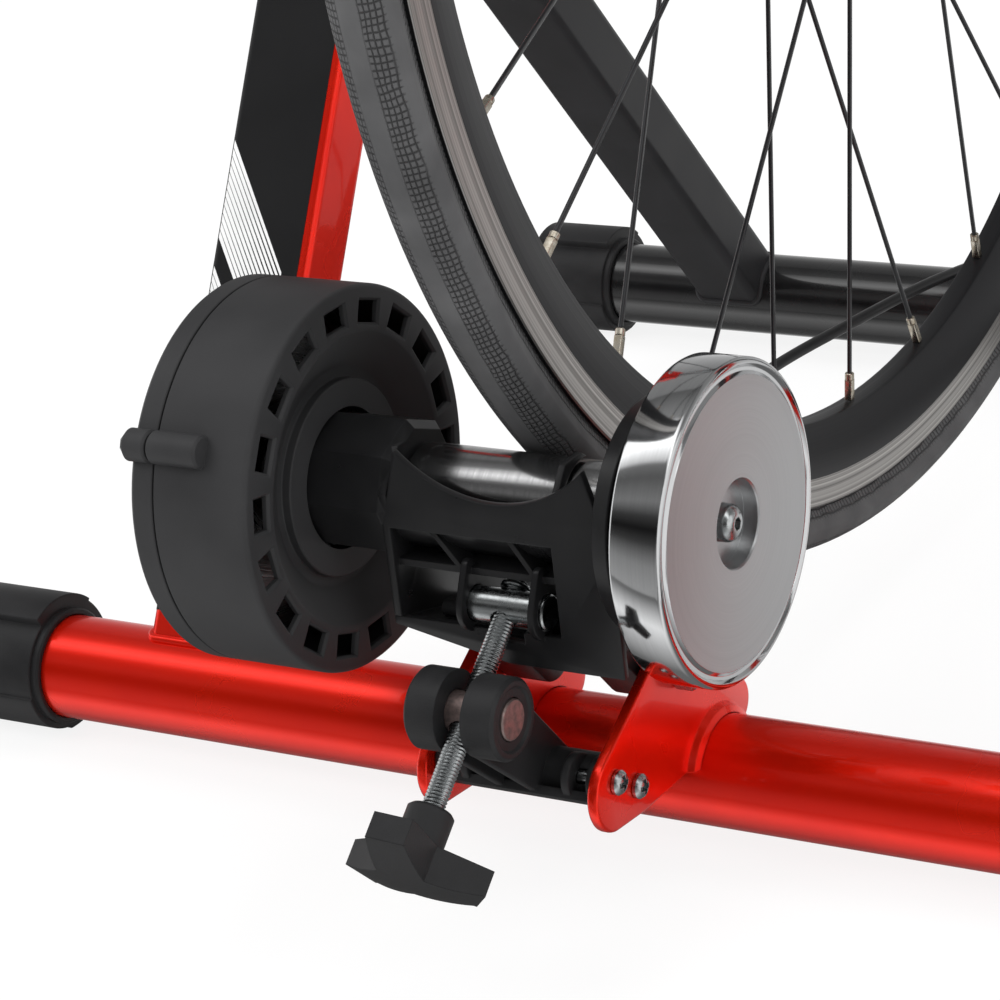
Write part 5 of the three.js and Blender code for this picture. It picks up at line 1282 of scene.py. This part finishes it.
def makeAdjustingScrew():
    start, end = -screw["past"], screw["reach"] + screw["stemLength"]
    rodSolid = threadedRod(screw["radius"], start, end, screw["pitch"], screw["depth"], 1, 6)
    inner = screw["upperRadius"] + gap
    circlet = pipe(
        screw["circlet"], screw["radius"] - screw["depth"] - 0.2, -inner - screw["circletThickness"], -inner,
        48, bevel=0.3)
    whole = gathered([(rodSolid, zincPlate), (circlet, zincPlate)])
    aimed(whole, screwDirection, alongScrew(0))
    finished(whole, "adjustingScrew", None, ["adjusting_screw"], sharp=50)


def makeKnob():
    half = screw["lobeWidth"] / 2
    corner = half / math.tan(math.pi / screw["lobes"])
    outline = []
    for lobe in range(screw["lobes"]):
        angle = 2 * math.pi * lobe / screw["lobes"]
        tip = screw["tipShare"] * half
        for out, across in ((corner, -half), (screw["knob"], -tip), (screw["knob"], tip)):
            outline.append(spun(out, across, angle))
    top = screw["stemLength"] + screw["knobThickness"]
    domeRadius = (screw["knob"] ** 2 + screw["dome"] ** 2) / (2 * screw["dome"])
    dome = [(-overrun, 0), (-overrun, 2 * screw["knob"])]
    steps = 24
    for step in range(steps + 1):
        out = 2 * screw["knob"] * (1 - step / steps)
        reach = min(out, screw["knob"])
        dome.append((top - domeRadius + math.sqrt(domeRadius ** 2 - reach ** 2), out))
    lobes = common(plateX(outline, screw["stemLength"], top), turned(dome, 96))
    lobes = eased(lobes, 0.7, 2, 30)
    stem = rod(screw["stem"], 0, screw["stemLength"] + overrun, 64, bevel=1)
    socket = rod(screw["radius"] + gap, -overrun, screw["stemLength"] + gap, 48)
    knob = aimed(cut(join(lobes, stem), socket), screwDirection, alongScrew(screw["reach"]))
    finished(knob, "adjustingKnob", gripNylon, ["adjusting_knob"])


makeTrunnion(
    "upperTrunnion", "upper_trunnion", screw["upperRadius"], screw["upperLength"], upperTrunnion, zincPlate)
makeTrunnion(
    "lowerTrunnion", "lower_trunnion", bracket["trunnion"], 2 * bracket["lugOuter"], lowerTrunnion, sawnSteel)
makeAdjustingScrew()
makeKnob()
print("screw made")

# Moulded cradle, given from the roller axis

cradle = {
    "half": 43.5, "wall": 3, "rear": 22, "bandBottom": 3, "horn": 22, "dip": 7, "sideDrop": 38, "front": 19,
    "floorDrop": 50, "trough": 17, "troughWall": 2.6, "rib": 2.4, "pocket": 12, "columnX": 21,
    "wheelClear": 3, "seat": 9.5, "knuckle": 12, "knuckleInner": 13, "knuckleOuter": 30, "housing": 24,
    "housingLeft": -74.1, "housingRight": 54, "bearing": 16, "ribShares": ((-0.72, -0.42), (0.02, 0.28)),
    "bore": 5.8}
wheel = {"tyre": 335, "rim": 317, "tyreWidth": 24}
pocketFloor = -cradle["bandBottom"] - cradle["wall"] - cradle["pocket"]
cradleInner = cradle["half"] - cradle["wall"]
trunnionFromRoller = offsetOf(upperTrunnion, roller)
pivotFromRoller = offsetOf(unitPivot, roller)


def makeCradleBand():
    sag = cradle["horn"] - cradle["dip"]
    hornHalf = cradleInner - sag / 3
    radius = (hornHalf ** 2 + sag ** 2) / (2 * sag)
    half = math.asin(hornHalf / radius)
    low = -cradle["bandBottom"] - cradle["wall"]
    outline = [(-cradle["half"], low), (cradle["half"], low), (hornHalf, cradle["horn"])]
    steps = 32
    for step in range(1, steps):
        angle = half * (1 - 2 * step / steps)
        outline.append((radius * math.sin(angle), cradle["dip"] + radius * (1 - math.cos(angle))))
    outline.append((-hornHalf, cradle["horn"]))
    return eased(plateY(outline, -cradle["rear"], -cradle["rear"] + cradle["wall"]), 0.5, 2, 30)


def makeCradle():
    half, wall, rear = cradle["half"], cradle["wall"], cradle["rear"]
    drop, floor, front = cradle["sideDrop"], cradle["floorDrop"], cradle["front"]
    lower = [
        (-half, -drop), (-half, -drop - wall), (0, -floor), (half, -floor), (half, -cradle["bandBottom"]),
        (cradle["columnX"], -cradle["bandBottom"]), (cradle["columnX"], -drop)]
    wallOutline = [
        (-rear, 2 * cradle["bandBottom"]), (-rear, -drop), (front / 2, -floor), (front, -floor),
        (front, wall), (0, front), (-rear / 2, front)]
    floorOutline = [
        (-rear, -drop), (-rear, -drop - wall), (front / 2, -floor), (front, -floor), (front, -floor + wall),
        (front / 2, -floor + wall)]
    trough = pipe(cradle["trough"] + cradle["troughWall"], cradle["trough"], -cradleInner, cradleInner, 96)
    solids = [
        eased(plateY(lower, -rear, -rear + wall), 0.5, 2),
        eased(plateX(wallOutline, -half, -half + wall), 0.5, 2),
        eased(plateX(wallOutline, cradleInner, half), 0.5, 2),
        eased(plateX(wallOutline, cradle["columnX"], cradle["columnX"] + cradle["rib"]), 0.4, 2),
        cut(trough, block(-half, half, -clearDepth, clearDepth, 0, clearDepth)),
        plateX(floorOutline, -cradleInner, cradleInner),
        block(
            -cradleInner, cradle["columnX"], -rear + wall, -rear / 4, pocketFloor - cradle["rib"],
            pocketFloor)]
    top, rib = -cradle["bandBottom"], cradle["rib"] / 2
    for shares in cradle["ribShares"]:
        first, last = (share * cradleInner for share in shares)
        solids.append(plateY(
            [(first - rib, top), (first + rib, top), (last + rib, pocketFloor), (last - rib, pocketFloor)],
            -rear + wall, -rear / 2))
    left = cradle["housingLeft"]
    solids.append(turned([
        (left, 0), (left, cradle["housing"]), (-half, cradle["housing"]),
        (-cradleInner, cradle["housing"] - wall), (-cradleInner, 0)], 8))
    solids.append(rod(cradle["housing"], cradleInner, cradle["housingRight"] - gap, 64, bevel=0.4))
    for sign in (-1, 1):
        seat = belt([
            (*trunnionFromRoller, cradle["seat"]), (front - wall, -floor + wall, wall),
            (-rear + wall, pocketFloor, wall)])
        ribX = sign * (screw["upperLength"] / 2 - cradle["rib"])
        solids.append(eased(plateX(seat, ribX - rib, ribX + rib), 0.3, 2))
        knuckle = belt([
            (*pivotFromRoller, cradle["knuckle"]), (front - wall, -floor + 2 * wall, cradle["knuckle"] / 2),
            (-rear / 2, -drop, wall)])
        solids.append(eased(
            plateX(knuckle, sign * cradle["knuckleInner"], sign * cradle["knuckleOuter"]), 0.8, 2))
    notch = screw["radius"] + wall
    reach = wheel["tyre"] + cradle["wheelClear"]
    across = wheel["tyreWidth"] / 2 + cradle["wheelClear"]
    seatEnd = screw["upperLength"] / 2 + gap
    tools = [
        rod(cradle["trough"], -cradleInner, cradleInner, 96),
        rod(cradle["bore"], 2 * left, clearDepth * 2, 48),
        rod(cradle["bearing"] + gap, 2 * left, -half - cradle["rib"], 64),
        rod(cradle["bearing"] + gap, cradleInner + cradle["rib"], clearDepth * 2, 64),
        rod(plate["bolt"] + gap, -plate["inner"], plate["inner"], 48, pivotFromRoller),
        rod(screw["upperRadius"] + gap, -seatEnd, seatEnd, 64, trunnionFromRoller),
        block(-notch, notch, -2 * rear, -rear + 2 * wall, -drop - screw["radius"], -drop + screw["radius"]),
        rod(reach, -across, across, 240, offsetOf(axle, roller))]
    body = cut(join(makeCradleBand(), *solids), *tools)
    finished(moved(body, roller), "mouldedCradle", cradleNylon, ["unit_frame"])


makeCradle()
print("cradle made")

# Drum: two moulded shells that meet at a seam, with case screws in outside bosses

drum = {
    "near": -66.1, "seam": -103.2, "far": -114.6, "wall": 2.5, "round": 1.8, "land": 50, "dish": 8,
    "disc": 34, "discHeight": 3.5, "slots": 18, "slotInner": 53, "slotOuter": 60.5, "slotWidth": 11.5,
    "slotChamfer": 0.9, "boss": 5.6, "bosses": 3, "bossAngle": 152, "bossLength": 20, "bossStep": 1.2,
    "screw": 2}


def drumBosses(fromX, toX, radius, bevel=0.0):
    out = drumRadius + drum["bossStep"]
    turns = [math.radians(drum["bossAngle"] + 360 * boss / drum["bosses"]) for boss in range(drum["bosses"])]
    return [rod(radius, fromX, toX, 48, polar(out, turn), bevel) for turn in turns]


# Slot with straight walls and a chamfered mouth, as one loft of four rectangles
def slotTool(angle):
    near, width, chamfer = drum["near"], drum["slotWidth"] / 2, drum["slotChamfer"]
    rings = []
    for x, grow in (
            (near - drum["wall"] - overrun, 0), (near - chamfer, 0), (near, chamfer),
            (near + 0.2, chamfer * 1.2)):
        low, high, side = drum["slotInner"] - grow, drum["slotOuter"] + grow, width + grow
        corners = ((low, -side), (high, -side), (high, side), (low, side))
        rings.append([(x, *spun(out, across, angle)) for out, across in corners])
    return loft(rings)


def makeDrumInner():
    seam = drum["seam"] + gap
    near, wall, soft, land = drum["near"], drum["wall"], drum["round"], drum["land"]
    dish = near - drum["dish"]
    disc = dish + drum["discHeight"]
    back = dish - wall
    bore = cradle["housing"] + gap
    discFoot = drum["disc"] + drum["discHeight"]
    shell = turned([
        (seam, drumRadius - wall), (seam, drumRadius - 0.3), (seam + 0.3, drumRadius),
        *arc((near - soft, drumRadius - soft), soft, math.pi / 2, 0, 4), (near, land + 0.5),
        (near - 0.35, land - 0.3), (dish + 0.5, discFoot + 0.6), (dish, discFoot - 0.4),
        (dish, drum["disc"] + 0.3), (dish + 0.3, drum["disc"]), (disc - 0.4, drum["disc"]),
        (disc, drum["disc"] - 0.4), (disc, bore), (back, bore), (back, discFoot), (near - wall, land),
        (near - wall, drumRadius - wall)], 144)
    inside = rod(drumRadius - wall, seam - overrun, near - wall, 144)
    bosses = cut(join(*drumBosses(seam, seam + drum["bossLength"], drum["boss"], 0.8)), inside)
    tools = drumBosses(seam - overrun, seam + drum["bossLength"] - wall, drum["screw"] + gap)
    tools += [slotTool(2 * math.pi * (slot + 0.5) / drum["slots"]) for slot in range(drum["slots"])]
    solid = cut(join(shell, bosses), *tools)
    finished(moved(solid, roller), "drumInnerShell", drumNylon, ["drum_inner_shell"])


def makeDrumOuter():
    seam = drum["seam"] - gap
    far, wall, soft, land = drum["far"], drum["wall"], drum["round"], drum["land"]
    face = far + wall
    shell = turned([
        (far, 0), (far, land), (far + soft, drumRadius - soft), (far + 1.4 * soft, drumRadius - 0.7),
        (far + 2 * soft, drumRadius), (seam - 0.3, drumRadius), (seam, drumRadius - 0.3),
        (seam, drumRadius - wall), (face + soft, drumRadius - wall), (face, land), (face, 0)], 144)
    inside = rod(drumRadius - wall, face + soft, seam + overrun, 144)
    bosses = cut(join(*drumBosses(far + soft, seam, drum["boss"], 0.8)), inside)
    solid = cut(join(shell, bosses), *drumBosses(far - overrun, seam + overrun, drum["screw"] + gap))
    finished(moved(solid, roller), "drumOuterShell", drumNylon, ["drum_outer_shell"])


makeDrumInner()
makeDrumOuter()
for number in (1, 2, 3):
    dressed("drum_screw_%d" % number, zincPlate)
for node in ("magnet_ring", "rotor_disc", "bearing_left", "bearing_right", "roller_shaft"):
    dressed(node, turnedSteel)
print("drum made")

# Bearing cover, roller and flywheel

spindle = {
    "ring": 41, "ringFrom": 46.5, "coverFrom": 54, "coverTo": 59.8, "bore": 5.8, "roller": 15.4, "half": 39,
    "shaft": 5.3, "flywheel": 53.3, "inner": 60.6, "outer": 78.3, "bead": 3.2, "beadFoot": 1.07,
    "groove": 0.9, "grooveWidth": 2.4, "recess": 14.35, "recessDepth": 5.5, "web": 6.5, "screw": 3,
    "screwHead": 6.3, "screwHeight": 5, "screwLength": 16.5, "socket": 2.3}
quarterTurn = [math.pi / 2 * step / 6 for step in range(7)]


def makeCover():
    first, start, end = spindle["ringFrom"], spindle["coverFrom"] + gap, spindle["coverTo"]
    rimRadius, housing = spindle["ring"], cradle["housing"] + gap
    smooth = turned([
        (first, housing), (first, rimRadius - 3), (first + 0.8, rimRadius - 1.4), (start - 1.3, rimRadius),
        (start - 0.9, rimRadius - 0.4), (start - 0.8, rimRadius - 1.6), (start, rimRadius - 1.6),
        (start, housing)], 120, roller)
    grainy = turned([
        (start, spindle["bore"]), (start, rimRadius - 0.6), (start + 0.4, rimRadius + 0.2),
        (end - 0.6, rimRadius + 1), (end, rimRadius + 0.4), (end, spindle["bore"])], 120, roller)
    cover = gathered([(smooth, cradleNylon), (grainy, coarseNylon)])
    finished(cover, "bearingCover", None, ["bearing_cover"])


def makeRoller():
    half, radius, shaft = spindle["half"], spindle["roller"], spindle["shaft"]
    body = turned([
        (-half, shaft), (-half, radius - 0.8), (-half + 0.25, radius - 0.25), (-half + 0.8, radius),
        (half - 0.8, radius), (half - 0.25, radius - 0.25), (half, radius - 0.8), (half, shaft)], 128, roller)
    finished(body, "steelRoller", groundSteel, ["roller"])


def makeFlywheel():
    radius, outer, inner = spindle["flywheel"], spindle["outer"], spindle["inner"]
    bead, foot = radius - spindle["bead"], spindle["beadFoot"]
    groove, grooveWidth = outer - spindle["groove"], spindle["grooveWidth"]
    floor, recess = outer - spindle["recessDepth"], spindle["recess"]
    tall, wide = spindle["bead"] - foot, spindle["bead"] / 2
    crown = [(outer - wide * (1 - math.sin(t)), bead + foot + tall * math.cos(t)) for t in quarterTurn]
    profile = [
        (inner, spindle["shaft"]), (inner, radius - 1.2), (inner + 0.4, radius - 0.4), (inner + 1.2, radius),
        *crown, (groove + 0.3, bead + 0.3), (groove, bead), (groove, bead - grooveWidth / 2),
        (outer - 0.3, bead - grooveWidth + 0.3), (outer, bead - grooveWidth), (outer, recess + 0.5),
        (outer - 0.5, recess), (floor, recess), (floor, spindle["screw"] + gap),
        (floor - spindle["web"], spindle["screw"] + gap), (floor - spindle["web"], spindle["shaft"])]
    body = turned(profile, 160, roller)
    body.data.materials.append(chromedRim)
    body.data.materials.append(chromedFace)
    for polygon in body.data.polygons:
        out = math.hypot(*offsetOf(polygon.center.yz / mm, roller))
        polygon.material_index = 1 if out < bead - grooveWidth else 0
    finished(body, "chromedFlywheel", None, ["flywheel"])


def makeFlywheelScrew():
    under = spindle["outer"] - spindle["recessDepth"] + gap
    head, height, socketRadius = spindle["screwHead"], spindle["screwHeight"], spindle["socket"]
    start = under - spindle["screwLength"]
    crown = [
        (under + height * (0.33 + 0.67 * math.sin(t)), head * (0.4 + 0.6 * math.cos(t))) for t in quarterTurn]
    body = turned([
        (start, 0), (start, spindle["screw"]), (under, spindle["screw"]), (under, head), *crown,
        (under + height, 0)], 64)
    low, high = under + height * 0.35, under + 2 * height
    socket = turned([(low, 0), (low, socketRadius), (high, socketRadius), (high, 0)], 6)
    finished(moved(cut(body, socket), roller), "flywheelScrew", zincPlate, ["flywheel_screw"])


makeCover()
makeRoller()
makeFlywheel()
makeFlywheelScrew()
print("spindle made")

# Wheel

tyre = {"wall": 2.6, "crownShare": 0.45, "beadLift": 4, "seat": 8, "steps": 18}
rim = {"half": 10, "depth": 31.5, "wall": 1.7, "track": 11.2, "well": 12, "bed": 4.5, "valve": 3}
hub = {
    "spokes": 28, "breadth": 2.2, "thickness": 1.4, "first": -5.9, "cross": 3, "nipple": 3.6,
    "nippleLength": 11, "radius": 14, "flange": 25, "holeInset": 3, "flangeThickness": 3, "leftX": 37,
    "rightX": 19, "end": 58, "bore": 5.8}
rimBed = wheel["rim"] - rim["depth"]
tyreMiddle = wheel["rim"] + (wheel["tyre"] - wheel["rim"]) * tyre["crownShare"]


def crownLine(half, height, steps):
    line = []
    for step in range(steps + 1):
        angle = math.pi * step / steps
        line.append((-half * math.cos(angle), tyreMiddle + height * math.sin(angle)))
    return line


def makeTyre():
    half, wall, seat = wheel["tyreWidth"] / 2, tyre["wall"], tyre["seat"]
    bead = wheel["rim"] - tyre["beadLift"]
    crown = wheel["tyre"] - tyreMiddle
    neck = wheel["rim"] + gap
    profile = [
        (-seat, bead), (-seat, neck), *crownLine(half, crown, 2 * tyre["steps"]), (seat, neck), (seat, bead),
        (seat - wall, bead), *reversed(crownLine(half - wall, crown - wall, tyre["steps"])),
        (-seat + wall, bead)]
    finished(turned(profile, 240, axle), "roadTyre", tyreRubber, ["tyre"], sharp=40)


def makeRim():
    half, bed, track = rim["half"], rim["bed"], wheel["rim"] - rim["track"]
    well, inner, top = wheel["rim"] - rim["well"], rim["half"] - rim["wall"], wheel["rim"]
    section = turned([
        (-bed, rimBed + 0.4), (-bed - 0.5, rimBed + 1.2), (-half, track - 0.5), (-half, track),
        (-half, top - 0.4), (-half + 0.4, top), (-inner, top), (-inner, well), (inner, well), (inner, top),
        (half - 0.4, top), (half, top - 0.4), (half, track), (half, track - 0.5), (bed + 0.5, rimBed + 1.2),
        (bed, rimBed + 0.4), (bed - 1, rimBed), (-bed + 1, rimBed)], 240)
    floor, low = well - rim["wall"], rimBed + 2 * rim["wall"]
    hollow = turned([
        (-bed + rim["wall"], low), (-inner, floor), (inner, floor), (bed - rim["wall"], low)], 240)
    valve = bar((0, 0, rimBed - overrun), (0, 0, wheel["rim"]), rim["valve"] + gap, 32)
    body = moved(cut(section, hollow, valve), axle)
    body.data.materials.clear()
    body.data.materials.append(anodisedRim)
    body.data.materials.append(machinedTrack)
    for polygon in body.data.polygons:
        out = math.hypot(*offsetOf(polygon.center.yz / mm, axle))
        outside = abs(polygon.center.x / mm) > half - 0.2
        polygon.material_index = 1 if outside and out > track + 0.6 else 0
    finished(body, "alloyRim", None, ["rim"])


def makeHub():
    hole = hub["flange"] - hub["holeInset"]
    half = hub["flangeThickness"] / 2
    left, right, radius, flange = hub["leftX"], hub["rightX"], hub["radius"], hub["flange"]
    shell = turned([
        (-hub["end"], hub["bore"]), (-hub["end"], radius), (-left - half, radius),
        (-left - half, flange - 0.6), (-left - half + 0.6, flange), (-left + half - 0.6, flange),
        (-left + half, flange - 0.6), (-left + half, radius + 2), (-left + half + 2, radius),
        (right - half - 2, radius), (right - half, radius + 2), (right - half, flange - 0.6),
        (right - half + 0.6, flange), (right + half - 0.6, flange), (right + half, flange - 0.6),
        (right + half, hub["bore"])], 96)
    parts = [(shell, blackGloss)]
    perFlange = hub["spokes"] // 2
    crossAngle = 2 * math.pi * hub["cross"] / perFlange
    for number in range(hub["spokes"]):
        angle = math.radians(hub["first"]) + 2 * math.pi * number / hub["spokes"]
        onRight = number % 2 == 0
        back = number % 4 == (0 if onRight else 1)
        holeAngle = angle + (-crossAngle if back else crossAngle)
        flangeX = right if onRight else -left
        faceX = flangeX + (half if back == onRight else -half)
        start = Vector((faceX, hole * math.sin(holeAngle), -hole * math.cos(holeAngle)))
        end = Vector((0, math.sin(angle), -math.cos(angle))) * (rimBed - 0.4)
        nipple = end.lerp(start, hub["nippleLength"] / (start - end).length)
        parts.append((blade(start, nipple.lerp(end, 0.3), hub["breadth"], hub["thickness"], 0.6), blackSpoke))
        middle = nipple.lerp(end, 0.25)
        parts.append((bar(nipple, middle, hub["nipple"] / 2, 16, 0.3), nickelBrass))
        parts.append((blade(middle, end, hub["nipple"] * 0.85, hub["nipple"] * 0.85, 0.4), nickelBrass))
    finished(moved(gathered(parts), axle), "hubAndSpokes", None, ["spoked_hub"], sharp=40)


makeTyre()
makeRim()
makeHub()
for node, material in (("inner_tube", plainRubber), ("sprocket_cassette", turnedSteel), ("axle", zincPlate)):
    dressed(node, material)
print("wheel made")
